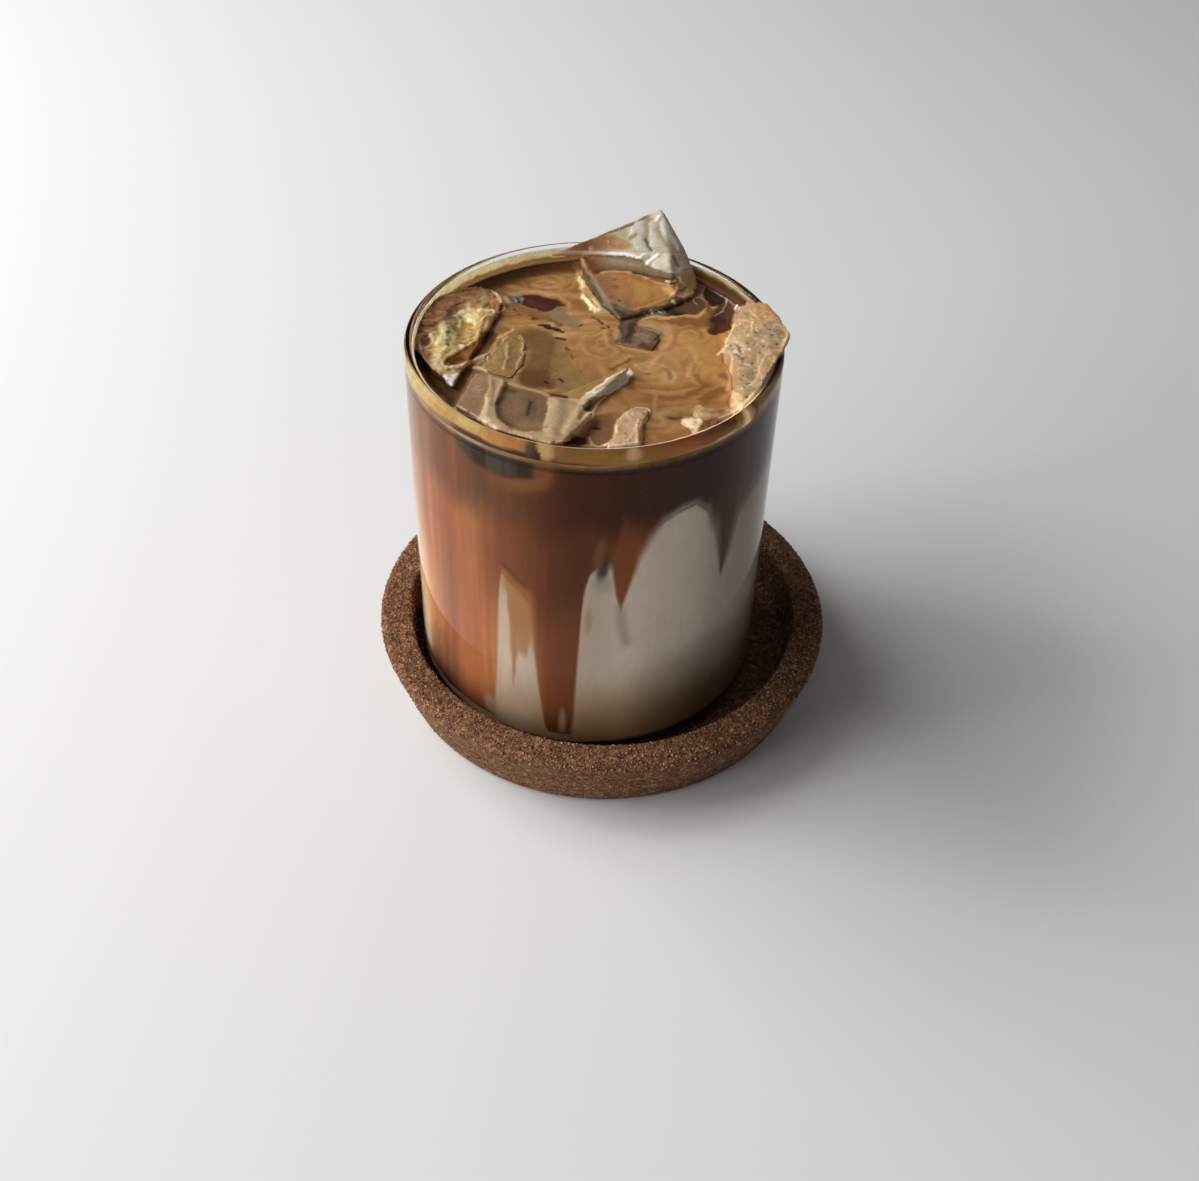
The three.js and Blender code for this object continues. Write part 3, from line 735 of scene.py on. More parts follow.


# The marks on the ice and on the drink, as they are seen from the photograph's camera. A place is x and y
# in mm from the glass's axis, where the line of sight meets the drink's level. A mark is its colour,
# strength, soft edge in mm, width in mm, how far it stands out in mm, and its points: many points with no
# width are an area, many with a width are a line, and one point is a round spot of that radius.
# Many marks are painted light: glints, highlights and reflections on the ice, and shade in hollows, under ice
# and on faces away from the light.
MARKS = {
    "swirl": [
        ((188, 146, 98), 0.6, 2.4, 0, 0, [(9, -1), (9.4, -4), (12, -7.4), (15, -8.8), (18.6, -8.4),
            (19.6, -5), (17, -1.6), (14, 0.4)]),
        ((198, 152, 104), 0.8, 1.6, 2.2, 0, [(15.4, 12.4), (16.4, 9.6), (16.4, 6), (15.2, 3)]),
        ((194, 148, 98), 0.7, 1.6, 2.2, 0, [(19, 9), (21, 7), (20, 3), (16.4, 0.6)]),
        ((176, 116, 74), 0.8, 0.8, 0.8, 0, [(17.4, 12), (17.8, 9), (17.2, 6), (16, 3.4)]),
        ((130, 84, 40), 0.85, 1.2, 1.2, -0.1, [(7.2, -8.6), (8.6, -11), (12, -13), (16, -13.6), (20, -12.6),
            (23.4, -9.8), (24.6, -7)]),
        ((138, 92, 48), 0.8, 0.8, 0.7, 0, [(14.2, -14.2), (18, -13.6), (21.6, -12.4)]),
        ((146, 98, 54), 0.8, 0.8, 0.8, 0, [(8, -10.4), (12.4, -11), (17, -11.2), (20.6, -9.6)]),
        ((186, 138, 88), 0.7, 1.2, 0.9, 0, [(9.6, -11.8), (14, -12.4), (18, -12.2)]),
        ((160, 116, 68), 0.7, 1, 0.9, 0, [(19.4, -2), (19, -5.6), (17.6, -9.4), (14.4, -10.4), (10.4, -9.4)]),
        ((208, 166, 116), 0.8, 0.7, 0.4, 0.05, [(15.8, 6), (14.6, 3.6), (13.8, 0.8), (12.6, -1.2),
            (11.8, -3)]),
        ((206, 162, 108), 0.75, 0.9, 0.5, 0.05, [(22.4, 2.6), (21.4, -0.4), (20.4, -3.6), (19.8, -6.4)]),
        ((202, 160, 112), 0.75, 0.7, 0.4, 0.05, [(9.2, -1.4), (9.4, -3.4), (10.8, -4.7), (12.6, -4.6)]),
        ((202, 160, 112), 0.75, 0.7, 0.5, 0.05, [(14.8, -2), (15.3, -4.6), (14.9, -8.4)]),
        ((204, 164, 112), 0.85, 0.4, 0.6, 0.05, [(16.4, -4.4), (17.3, -6.4), (16.3, -8.2)]),
        ((142, 100, 60), 0.7, 0.7, 0.5, 0, [(14.6, -3.4), (15.9, -4.8), (16.1, -6.8)]),
        ((196, 144, 84), 0.7, 2, 2.6, 0, [(23.6, 4), (24.6, -1), (24.8, -6.6)]),
        ((134, 84, 40), 0.85, 1.4, 1.8, -0.05, [(23, -14.6), (24.6, -13), (26.6, -10.8)]),
        ((126, 88, 48), 0.8, 1, 1, 0, [(27.2, -5.6), (28.4, -7.2)]),
        ((132, 92, 50), 0.7, 0.8, 0.9, 0, [(21.6, -6), (22.4, -8.4)]),
        ((196, 150, 98), 0.6, 0.8, 0.35, 0, [(12.5, -12), (12.9, -15), (12.7, -18)]),
        ((146, 116, 72), 0.75, 1, 0, 0, [(8.2, 1.6), (9, -1.4), (11, -0.6), (12.6, 1.4), (12, 3),
            (9.6, 2.6)]),
        ((206, 158, 108), 0.8, 0.6, 0.5, 0, [(4.6, 5), (7, 4.2), (9.6, 3), (12.4, 2.2)]),
        ((138, 90, 48), 0.8, 0.5, 0.7, 0, [(3.2, 5.6), (5, 3.4), (7.6, 2.2), (10.6, 1.8)]),
        ((202, 156, 104), 0.7, 0.7, 0.6, 0, [(2.2, 10.4), (2.4, 6.8), (3.6, 4.2), (5, 2.6)]),
        ((146, 100, 56), 0.7, 0.8, 0.7, 0, [(3.4, 10.4), (3.6, 7), (4.6, 5.2)]),
        ((200, 154, 104), 0.75, 1, 0.7, 0, [(-15, 31), (-11, 32.6), (-7.6, 30.8), (-8.4, 28), (-12, 27.4),
            (-14, 29), (-12, 30.4), (-9.6, 29.6)]),
        ((184, 138, 88), 0.7, 0.6, 0.6, 0, [(-18, 30.6), (-12, 34.4), (-5.6, 32.6), (-5.4, 28), (-8, 25.8)]),
        ((196, 150, 100), 0.7, 1, 1.2, 0, [(-20, 27.6), (-14, 25.4), (-8, 24.6), (-3, 24)]),
    ],
    # sunk ice seen under the skin, darkened in part by painted shade
    "sunk ice in the middle": [
        ((112, 80, 44), 0.85, 2.4, 0, 0, [(-17.5, 7), (-14, 10.8), (-10.5, 9.4), (-8, 6), (-7.5, 0),
            (-8.6, -6), (-9, -11.6), (-14, -10), (-15.6, -8), (-14.6, -2), (-14.6, 4)]),
        ((142, 112, 68), 0.8, 2, 0, 0, [(-8, 5), (-6, 3), (-5, -3), (-2.6, -5.2), (1.4, -7.4), (4.4, -6.4),
            (0, -12), (-2.6, -14.8), (-6, -14.6), (-8, -11), (-8.6, -4)]),
        ((92, 58, 32), 0.6, 2, 0, 0, [(-15.2, -6), (-11, -5.6), (-8.4, -8), (-9.4, -12.4), (-15, -10)]),
        ((150, 122, 78), 0.5, 1.6, 1.6, 0, [(-4.6, -9), (-3.4, -12), (-6.4, -13.6)]),
        ((58, 32, 18), 0.9, 0.3, 0.5, -0.1, [(-9.6, -9.5)]),
        ((56, 32, 20), 0.9, 0.3, 0.4, 0, [(-6.9, -8)]),
        ((58, 34, 20), 0.9, 0.3, 0.35, 0, [(-6.6, -8.9)]),
        ((84, 50, 28), 0.8, 0.3, 0.35, 0, [(-10.4, -7.7)]),
        ((84, 50, 28), 0.8, 0.3, 0.25, 0, [(-7.6, -6.9)]),
        ((96, 62, 34), 0.7, 0.3, 0.3, 0, [(-3.2, -4.9)]),
        ((48, 26, 14), 0.95, 0.3, 1.1, -0.2, [(-12, 11.9), (-10, 11.2), (-8.2, 10.1)]),
        ((54, 30, 16), 0.95, 0.3, 0.7, 0, [(-8.6, 10.5), (-6.9, 9.2)]),
        ((58, 34, 18), 0.92, 0.3, 0.8, 0, [(-8, 6.3), (-6.5, 5.9)]),
        ((78, 44, 24), 0.9, 0.4, 0.6, 0, [(-14, 14.4), (-12.4, 14.7)]),
        ((84, 50, 28), 0.8, 0.3, 0.3, 0, [(-5.9, 4), (-5.5, 2.6)]),
        ((96, 60, 34), 0.7, 0.3, 0.25, 0, [(-5.2, 0.6), (-5, -0.9)]),
        ((104, 62, 34), 0.7, 0.8, 1.3, 0, [(-14.6, 16.2), (-11, 14.6), (-7.6, 12.2)]),
    ],
    "windows into the tea": [
        ((178, 134, 78), 0.6, 3, 0, 0, [(-20, 14), (-17, 15.4), (-14, 13.6), (-13, 10), (-16, 8.6),
            (-19, 9.4)]),
        ((142, 96, 58), 0.8, 0.9, 1.6, 0, [(-19.4, 18.6), (-16.4, 18.4), (-13.4, 16.6), (-10.4, 15)]),
        ((84, 50, 28), 0.85, 0.4, 0.35, 0, [(-17.4, 17.4)]),
        ((84, 50, 28), 0.85, 0.4, 0.35, 0, [(-17, 15.9)]),
        ((74, 36, 22), 0.97, 0.5, 0, -0.1, [(-16.4, 23.4), (-13, 23.8), (-10, 23.2), (-8, 21.8),
            (-7.2, 20.2), (-9, 19.6), (-10.8, 17.4), (-12.6, 17.6), (-14.6, 19.2), (-16.2, 20.2)]),
        ((96, 50, 34), 0.6, 1, 1, 0, [(-14.6, 21.2), (-11.8, 20.4)]),
        ((108, 92, 92), 0.9, 0.6, 0, 0.1, [(-19.6, 22), (-18, 23.6), (-16.4, 23.6), (-15.6, 20.6),
            (-16.6, 19.6), (-18.6, 20)]),
        ((58, 44, 52), 0.85, 0.4, 0.6, 0, [(-17.8, 22.6), (-17, 20.4)]),
        # two painted glints on the crinkled ice
        ((196, 188, 190), 0.85, 0.3, 0.3, 0, [(-18.2, 22.6), (-17.9, 21)]),
        ((176, 168, 176), 0.8, 0.3, 0.3, 0, [(-16.6, 23), (-16.2, 21.2)]),
        ((206, 166, 128), 0.7, 0.5, 0.6, 0, [(-20, 22.2), (-19.2, 20.4)]),
        ((198, 156, 102), 0.8, 0.9, 0.7, 0, [(-18.8, 24), (-14, 25), (-9.6, 24.4), (-6.9, 22.6), (-5.4, 19)]),
        ((136, 118, 88), 0.85, 1.8, 0, 0, [(-10.8, 17.2), (-8.2, 19.2), (-6.2, 17.6), (-4.4, 14.8),
            (-2.6, 12.2), (-3.6, 10.4), (-6.6, 12.6), (-9, 14.6)]),
        ((66, 44, 30), 0.85, 0.4, 0.35, 0, [(-3.1, 12.4)]),
    ],
    # pale strip by the wedge's left side: partly foam, partly painted light on the wedge's lit face, with
    # painted highlights
    "foam strip beside the wedge": [
        ((212, 168, 108), 0.9, 0.8, 0, 0.3, [(-4.6, 40.4), (-3.2, 41), (-2.5, 38), (-1.6, 33), (-0.8, 28),
            (-0.1, 24.8), (1.3, 21), (3.6, 17.2), (1.8, 16.6), (-0.2, 17.8), (-1.8, 20), (-3, 24),
            (-4, 28.4), (-4.6, 34)]),
        ((255, 238, 186), 0.95, 0.5, 1, 0.25, [(-3.4, 31.2), (-2.8, 28.6), (-2.6, 27.4)]),
        ((255, 234, 180), 0.95, 0.5, 0.9, 0.25, [(-2.4, 24), (-2.1, 21.6), (-1.2, 19.4), (0.8, 18.3)]),
        ((248, 220, 158), 0.9, 0.4, 0.5, 0.1, [(-1, 22.2), (0, 20.4), (0.8, 19.4)]),
        ((232, 192, 132), 0.8, 0.6, 0.8, 0.1, [(-3.5, 38), (-2.8, 33)]),
        ((70, 34, 16), 0.92, 0.3, 0.5, -0.1, [(0.9, 14.4), (1.1, 13.4)]),
        ((64, 32, 16), 0.92, 0.3, 0.5, -0.1, [(2.2, 12.6), (2.6, 11.8)]),
        ((66, 32, 16), 0.9, 0.3, 0.4, 0, [(1.5, 11.4)]),
        ((96, 60, 32), 0.7, 0.5, 0.5, 0, [(0.2, 16), (0.8, 14.9)]),
    ],
    # the clear block: painted reflections of the drink in it, and painted highlights along its edges and its
    # ridge
    "the wedge's block": [
        ((212, 202, 184), 0.95, 0.6, 0, 0, [(-3.6, 43.2), (-3.6, 49.3), (0, 51.9), (5, 55.2), (8, 57.6),
            (10, 59.8), (12.8, 63), (14.6, 66), (16.4, 64), (17, 57.5), (18, 54.5), (19, 51.5), (20, 48.6),
            (21, 45), (21.8, 42), (22.6, 37), (20, 35), (16, 35), (12, 37), (10, 41.4)]),
        ((178, 138, 92), 0.85, 1.4, 0, 0, [(-3.8, 44.6), (-3.4, 48), (-0.8, 50.2), (1.4, 51.6), (4, 52.4),
            (5.2, 51), (7, 49.4), (8.4, 47.4), (7.4, 45.4), (4, 44.7), (0, 44.8)]),
        ((172, 124, 84), 0.6, 1.6, 1.8, 0, [(1, 48.4), (5, 46.6)]),
        ((150, 122, 80), 0.7, 1, 1.2, 0, [(1.6, 50.6), (3.4, 50.4)]),
        ((172, 162, 128), 0.8, 1.4, 0, 0, [(4.2, 53), (6.4, 55), (7.6, 53), (7.2, 50.2), (5.4, 50.8)]),
        ((128, 100, 70), 0.7, 0.8, 1.4, 0, [(-2.8, 49), (-3, 46)]),
        ((194, 174, 154), 0.8, 0.5, 0.6, 0.1, [(-1.9, 48.4), (-1.9, 47.2)]),
        ((92, 80, 68), 0.9, 0.4, 0.8, 0, [(-10, 45.6), (-3.6, 48.9), (-0.2, 51.2), (5, 54.6), (8, 57),
            (10.4, 59.6), (12.4, 62)]),
        ((140, 130, 102), 0.8, 1.2, 1.3, -0.1, [(12.2, 61), (12.2, 55), (11.7, 50.6)]),
        ((146, 136, 110), 0.8, 0.9, 0.8, -0.1, [(14, 57.4), (15.3, 52), (16.4, 47.4)]),
        ((216, 208, 196), 0.8, 1, 1.4, 0.1, [(10.2, 58), (9, 54), (9.6, 48), (10.6, 45)]),
        ((214, 208, 190), 0.8, 1, 1, 0.1, [(13.4, 58), (13.6, 52), (13.8, 47.4)]),
        ((136, 118, 96), 0.8, 0.5, 0.8, -0.1, [(9.2, 52.4), (8, 50.2)]),
        ((60, 54, 44), 0.9, 0.3, 0.5, 0, [(-3, 41.9), (1, 42), (4.5, 41.9), (8, 41.5), (9.6, 40.8)]),
        ((232, 226, 214), 0.85, 0.4, 0.5, 0.1, [(8.6, 55), (8.7, 52.6)]),
        ((222, 216, 208), 0.85, 1, 1.6, 0.1, [(15.2, 61), (17, 55), (18.6, 50), (20, 45.4)]),
        ((246, 242, 232), 0.9, 0.3, 0.6, 0.2, [(15.4, 61.6), (14.4, 58.8)]),
        ((238, 232, 224), 0.85, 0.5, 0.6, 0.1, [(17.8, 52), (18.6, 49), (19.4, 46)]),
        ((92, 86, 68), 0.85, 0.5, 0.8, -0.2, [(11.5, 50), (12.2, 47.6), (13, 45.2)]),
        ((142, 150, 130), 0.85, 0.5, 0, -0.1, [(10.6, 41), (12.4, 43.2), (13.2, 42), (12, 40.4)]),
        ((190, 194, 178), 0.9, 0.3, 0.6, 0.15, [(10, 41.4), (11, 42.8), (12.4, 43.9), (13.4, 43.9)]),
        ((254, 250, 240), 0.98, 0.3, 0.8, 0.3, [(11.8, 38.6), (12.6, 40.6), (14.5, 43)]),
        ((214, 204, 186), 0.9, 1, 0, 0.2, [(13, 40.6), (14.6, 42), (16.4, 41.6), (17.6, 39), (16.6, 36.6),
            (14.2, 36.2), (12.8, 38.2)]),
        ((124, 104, 84), 0.85, 0.5, 0.6, -0.1, [(18.1, 43), (18.6, 40.4), (19, 38.4)]),
        ((204, 186, 170), 0.85, 1, 1.6, 0, [(19.8, 45), (20.6, 41), (20.9, 36.4)]),
        ((186, 156, 124), 0.9, 1, 1.8, 0, [(-9, 44.2), (-6.6, 45.2), (-4, 46)]),
        ((122, 96, 66), 0.8, 0.5, 0.7, 0, [(-8.4, 44.3)]),
        ((196, 180, 164), 0.85, 0.6, 1.2, 0, [(-9, 43.6), (0, 44.2), (5, 44.1), (9.6, 43.4)]),
        ((255, 252, 244), 1, 0.4, 1.3, 0.3, [(-10.6, 42), (-8, 42.6), (-4, 42.9), (0, 43), (5, 42.9),
            (7.6, 42.7), (9, 42), (10, 41.3)]),
    ],
    # the face under the ridge in painted shade, the pool seen through it, and painted glints
    "the wedge's face and pool": [
        ((112, 96, 72), 0.95, 0.5, 0, 0, [(-3, 40.8), (-1.5, 41.6), (4, 41.6), (8, 41.7), (10.6, 41),
            (11.6, 38.6), (13.2, 36.8), (17.4, 35.2), (18.4, 33), (17.6, 31.6), (9, 33), (0.6, 34)]),
        ((140, 122, 100), 0.7, 1.4, 1.6, 0, [(0, 40), (5, 39.6), (9.6, 38.4)]),
        ((92, 72, 50), 0.7, 1.2, 1.4, 0, [(0.4, 36.2), (6, 35.8), (12, 34.8)]),
        ((44, 34, 24), 0.9, 0.4, 0.9, -0.1, [(-3, 41.2), (-2.2, 40.6)]),
        ((82, 60, 42), 0.9, 0.9, 0, 0, [(-2.4, 39.8), (-0.6, 39.6), (0.6, 36.8), (2.4, 35.9), (1.6, 34.2),
            (-0.8, 33.4), (-1.6, 36)]),
        ((64, 32, 18), 0.85, 0.8, 0.9, 0, [(-0.8, 35.4), (0.6, 34.8)]),
        ((150, 106, 66), 0.97, 0.4, 0, -0.1, [(-0.7, 33.4), (0.8, 34.2), (4, 34.9), (7.6, 34.3), (10.6, 33),
            (12.6, 31.4), (14.5, 30.3), (17.6, 29.6), (18.2, 28), (18.2, 26), (16.4, 24.4), (13.2, 22),
            (10.6, 20.4), (8.4, 19.1), (6.8, 18.9), (4.6, 20.6), (2.4, 23), (0.6, 24.6), (-0.2, 26)]),
        ((122, 88, 62), 0.8, 2, 0, 0, [(-0.6, 33), (3, 33.6), (4.4, 30), (4.8, 26), (5, 21), (2.4, 23),
            (0, 26)]),
        ((186, 136, 78), 0.9, 3, 0, 0, [(8, 31.8), (17, 29), (18, 26.4), (12, 22), (9, 22.4)]),
        ((222, 178, 112), 0.8, 1.4, 1.8, 0, [(16.4, 28.4), (17.2, 26.4)]),
        ((116, 104, 70), 0.6, 1.6, 1.6, 0, [(6.2, 22.2)]),
        ((106, 66, 38), 0.8, 0.8, 0.7, 0, [(4.4, 28.6)]),
        ((108, 64, 36), 0.8, 0.5, 0.5, 0, [(4.2, 32)]),
        ((112, 58, 38), 0.7, 0.9, 0.6, 0, [(3.6, 24.2)]),
        ((66, 48, 36), 0.8, 0.4, 0.4, 0, [(5.4, 22.7)]),
        ((206, 160, 108), 0.85, 0.4, 0.5, 0.2, [(1.4, 34.5), (4.4, 35.2), (8, 34.6), (10.8, 33.3),
            (12.8, 31.5), (14.6, 30.4), (17.4, 29.8)]),
        ((64, 40, 22), 0.92, 0.4, 0.7, -0.2, [(8.6, 34.8), (12, 33.6), (15, 32.7), (17.6, 32.2)]),
        ((108, 66, 32), 0.85, 0.6, 1.3, 0, [(13, 32.2), (16, 31.3)]),
        ((240, 228, 204), 0.9, 0.3, 0.5, 0.1, [(16.4, 31.4)]),
        ((236, 222, 196), 0.9, 0.3, 0.35, 0.1, [(18, 31.8)]),
        ((50, 30, 20), 0.9, 0.3, 0.5, 0, [(17.2, 30.4)]),
        ((228, 194, 152), 0.85, 0.4, 0.5, 0.2, [(18.3, 29.4), (18.1, 26.6), (17.2, 25.4)]),
        ((176, 130, 74), 0.8, 0.4, 0.4, 0.1, [(16.6, 24.6), (13, 21.8), (9.6, 19.7)]),
        ((194, 158, 112), 0.92, 0.7, 0, 0, [(17.8, 34.6), (20, 35.4), (21.8, 32.6), (23, 29.4), (22.2, 25.6),
            (20, 24.1), (18.5, 25), (18.5, 29), (18.6, 32)]),
        ((198, 170, 130), 0.7, 0.5, 0.6, 0.1, [(19.2, 34), (20.6, 30.6), (20.8, 26.4)]),
        ((236, 214, 184), 0.9, 0.25, 0.35, 0.2, [(18.9, 33.6), (19.7, 31)]),
        ((110, 82, 52), 0.8, 0.4, 0.5, -0.1, [(19.4, 27.4), (20.4, 29)]),
        ((118, 92, 60), 0.7, 0.4, 0.35, 0, [(19.2, 30.4)]),
        ((176, 142, 114), 0.85, 0.8, 1.6, 0, [(21, 36.4), (22.4, 32), (23.8, 27), (23.6, 24)]),
        ((196, 164, 142), 0.7, 0.5, 0.5, 0.1, [(21.6, 36), (22.8, 31.6), (23.4, 28)]),
    ],
    # dark hollow under the wedge in painted shade, with painted glints on its crystals
    "cavity under the wedge": [
        ((84, 70, 50), 0.96, 0.6, 0, -0.1, [(-0.3, 25.8), (0.8, 24.2), (2.6, 22.8), (5, 20.3), (7, 18.8),
            (9, 18.8), (9.8, 17.2), (9.4, 14), (9.2, 10.8), (8.4, 8.8), (6.4, 8.2), (5.6, 10.6), (6, 13),
            (5, 15), (3.2, 17.6), (1.3, 21)]),
        ((112, 100, 76), 0.75, 0.5, 0.5, 0, [(4.6, 20), (6.8, 18), (8.4, 17.6)]),
        ((60, 44, 32), 0.8, 0.8, 1.1, 0, [(3.6, 18.8), (5.6, 16.8)]),
        ((44, 26, 22), 0.8, 0.8, 1, 0, [(8.4, 14), (8, 11)]),
        ((88, 66, 50), 0.96, 0.6, 0, 0, [(9.4, 19.2), (12, 20.2), (15, 21.6), (17, 23.8), (18.6, 24.6),
            (20.4, 24.2), (22.4, 24.8), (24.6, 23.4), (24.6, 20.4), (22, 18.2), (19, 17.1), (16.6, 16.5),
            (14.4, 17.1), (12, 16.2), (9.8, 16.4)]),
        ((38, 28, 32), 0.85, 0.8, 1.6, 0, [(15.8, 19.6), (17, 18.4), (19, 17.9)]),
        ((104, 68, 44), 0.8, 1, 1.6, 0, [(19.6, 20), (22.6, 21)]),
        ((124, 116, 110), 0.85, 0.7, 0, 0, [(11.8, 17.4), (12.4, 19.8), (14.6, 20), (15.2, 18),
            (13.6, 16.9)]),
        ((226, 224, 226), 0.95, 0.25, 0.35, 0.15, [(12.4, 19.4), (13, 18.4), (12.7, 17.6)]),
        ((206, 204, 210), 0.9, 0.25, 0.3, 0.15, [(13.4, 19.6), (14.1, 18.4)]),
        ((204, 196, 190), 0.9, 0.4, 0.6, 0.15, [(17.4, 22.8), (18, 21.6)]),
        ((190, 186, 186), 0.85, 0.3, 0.35, 0, [(11, 17.3)]),
        ((180, 176, 180), 0.8, 0.3, 0.3, 0, [(10.4, 18.2)]),
        ((206, 176, 146), 0.8, 0.3, 0.3, 0, [(22, 24.4), (22.3, 22.2)]),
        ((196, 164, 130), 0.7, 0.3, 0.3, 0, [(19.4, 24), (19.8, 22.6)]),
        # painted shadow below the crystals
        ((138, 90, 46), 0.85, 1.6, 0, 0, [(15.4, 15.6), (19, 15.8), (24.6, 17.6), (25.6, 14), (23.8, 12.6),
            (18, 13.2)]),
        ((190, 148, 92), 0.8, 1.8, 2.2, 0, [(11.4, 13.6), (13, 11.6)]),
        ((206, 160, 104), 0.9, 0.5, 0.9, 0.15, [(10.6, 15.7), (13.6, 16.4), (16.4, 16), (19.4, 16.9),
            (22.4, 17.3), (24.2, 19), (25, 21)]),
        ((124, 82, 46), 0.85, 1, 0, 0, [(24.4, 22.6), (26, 22.4), (27, 18.8), (26.2, 14), (25, 11),
            (24.6, 14), (25.2, 18)]),
    ],
    # dark tea where the skin is thin, made darker by painted shade, with a few small painted glints
    "thin tea at the back right": [
        ((44, 14, 6), 0.97, 0.6, 0, -0.1, [(23.6, 36.8), (25, 36), (26.6, 34), (28.2, 30.6), (29.7, 27),
            (29.8, 25), (28.8, 22.8), (26.6, 22), (25.2, 23.6), (24.6, 26), (24.4, 31)]),
        ((86, 46, 24), 0.95, 0.7, 0, -0.1, [(29.8, 25.2), (31.6, 24.8), (33, 23.4), (32, 21.4), (31, 19.6),
            (30.4, 15.4), (29.8, 12.6), (27.4, 10.4), (25.8, 10.8), (26.4, 14), (26.8, 18), (27.6, 22)]),
        ((58, 32, 22), 0.8, 1, 1.2, 0, [(27.8, 19.4), (26.8, 15), (25.6, 11.4)]),
        ((54, 28, 20), 0.85, 0.6, 0.9, 0, [(31, 24), (32.4, 23)]),
        ((180, 140, 116), 0.9, 0.25, 0.3, 0.1, [(27, 33.4), (28.4, 29), (29.9, 25.6), (29.2, 22.6),
            (28.2, 19.6), (26.9, 17.4)]),
        ((154, 116, 106), 0.8, 0.4, 0.4, 0, [(29.9, 25.4), (31.6, 24.7), (32.8, 23.8)]),
        ((142, 106, 98), 0.8, 0.7, 1.2, 0, [(30, 28.6), (32.2, 26), (34, 24)]),
        ((66, 52, 20), 0.85, 0.6, 0.7, 0, [(26.8, 34), (30, 29.6), (33.2, 26)]),
        ((214, 190, 140), 0.9, 0.25, 0.35, 0.1, [(24.2, 35.8)]),
        ((206, 180, 136), 0.9, 0.25, 0.3, 0.1, [(25.2, 35)]),
        ((206, 180, 130), 0.9, 0.25, 0.4, 0.1, [(25.8, 32.6)]),
    ],
    "middle shard": [
        ((122, 96, 74), 0.96, 0.5, 0, 0, [(4.8, 5.4), (5.2, 8.4), (6.4, 10.4), (7, 14.6), (9.2, 14.4),
            (9.4, 12.4), (11.4, 12.2), (13.4, 10.8), (14.5, 9.4), (14, 6.6), (12.6, 2.8), (10.6, 3.6),
            (8.8, 4.4)]),
        ((66, 42, 36), 0.85, 1, 1.6, 0, [(8.6, 13.4), (8, 10.4), (7, 8)]),
        ((92, 74, 54), 0.7, 0.8, 0.9, 0, [(5.8, 9), (5.8, 6.8)]),
        ((98, 54, 38), 0.85, 1, 0, 0, [(9.4, 5.2), (12.4, 3), (13, 5.4), (11, 6.4)]),
        ((150, 122, 96), 0.6, 0.8, 0.7, 0, [(8, 6), (9.6, 6.6), (10.2, 9.6)]),
        ((152, 124, 98), 0.7, 0.9, 1.2, 0.1, [(9.4, 9.8), (11.4, 8.6), (12, 6.8)]),
        ((176, 146, 112), 0.6, 0.5, 0.4, 0.1, [(11, 11.6), (13.4, 10.2), (14.4, 8.8)]),
        ((60, 38, 28), 0.8, 0.4, 0.5, 0, [(13.8, 9), (13.4, 7)]),
        ((176, 134, 78), 0.7, 0.8, 0.8, 0, [(4.4, 3.8), (8, 2.6), (12.8, 1.6), (14.6, 4.4)]),
    ],
    # the left ice as it looks: painted golden light and glints on it, and painted shade on its right half
    "left ice": [
        ((160, 132, 100), 0.95, 0.4, 0, 0, [(-38, 17), (-36.5, 19.3), (-33.5, 22), (-31.5, 23.4),
            (-29.8, 25.3), (-27.2, 26.3), (-25.2, 27.2), (-23.8, 26.4), (-22.4, 25), (-21.4, 23.4),
            (-20.5, 21.6), (-20, 19.8), (-20, 17), (-20.6, 15.8), (-22, 15.6), (-24, 13), (-24.6, 9),
            (-25, 5.4), (-27, 2.8), (-30, 0.4), (-31.4, -1.8), (-31.3, -5), (-33, -6.5), (-34.5, -3.5),
            (-36, 0), (-37.4, 4), (-38.3, 9), (-38.7, 13)]),
        ((132, 98, 68), 0.7, 1.2, 1.6, 0, [(-27.6, 23.6), (-26.6, 20.6)]),
        ((176, 142, 100), 0.6, 1.2, 1.6, 0, [(-31.6, 19.6), (-28.6, 18.6)]),
        ((126, 96, 64), 0.7, 1.2, 1.2, 0, [(-34, 18.6), (-31.4, 21.6)]),
        ((192, 158, 118), 0.6, 0.3, 0.35, 0.15, [(-36.4, 19.1), (-33.4, 21.8), (-29.8, 25.1), (-25.2, 27)]),
        ((152, 102, 54), 0.9, 0.7, 0, -0.1, [(-24, 24.4), (-22.9, 24.2), (-21.7, 22.6), (-20.9, 20.6),
            (-20.7, 18.4), (-21.6, 17.5), (-23, 17.7), (-23.8, 19.6)]),
        ((134, 100, 72), 0.7, 0.6, 1, 0, [(-23.6, 24.6), (-24.2, 21.4)]),
        ((84, 62, 32), 0.9, 0.5, 0.9, -0.1, [(-24.2, 19.4), (-24.4, 18.6)]),
        ((240, 212, 158), 0.92, 0.3, 0.5, 0.3, [(-24.2, 25.8), (-22.3, 23.9), (-21.1, 21.6), (-20.3, 19.4),
            (-20.1, 17.6), (-20.9, 16.4), (-22.2, 16.2)]),
        ((138, 112, 92), 0.85, 0.8, 0, 0, [(-38.6, 17.2), (-36, 18.6), (-33.5, 17.6), (-32, 15), (-33, 11.5),
            (-34.6, 9.6), (-35, 5), (-34.6, 1.8), (-36, 0.6), (-37.6, 3), (-38.4, 9)]),
        ((54, 40, 32), 0.95, 0.4, 0.8, -0.2, [(-38, 10.8), (-36, 10.2), (-34.2, 10.9)]),
        ((62, 46, 36), 0.95, 0.4, 0.6, -0.2, [(-38.2, 14.6), (-37.2, 12.6)]),
        ((70, 50, 40), 0.92, 0.4, 0.7, -0.1, [(-35.4, 17), (-34.4, 14.4)]),
        ((236, 220, 198), 0.92, 0.25, 0.4, 0.2, [(-37.6, 16.8), (-37.2, 14.8), (-36.6, 13.4)]),
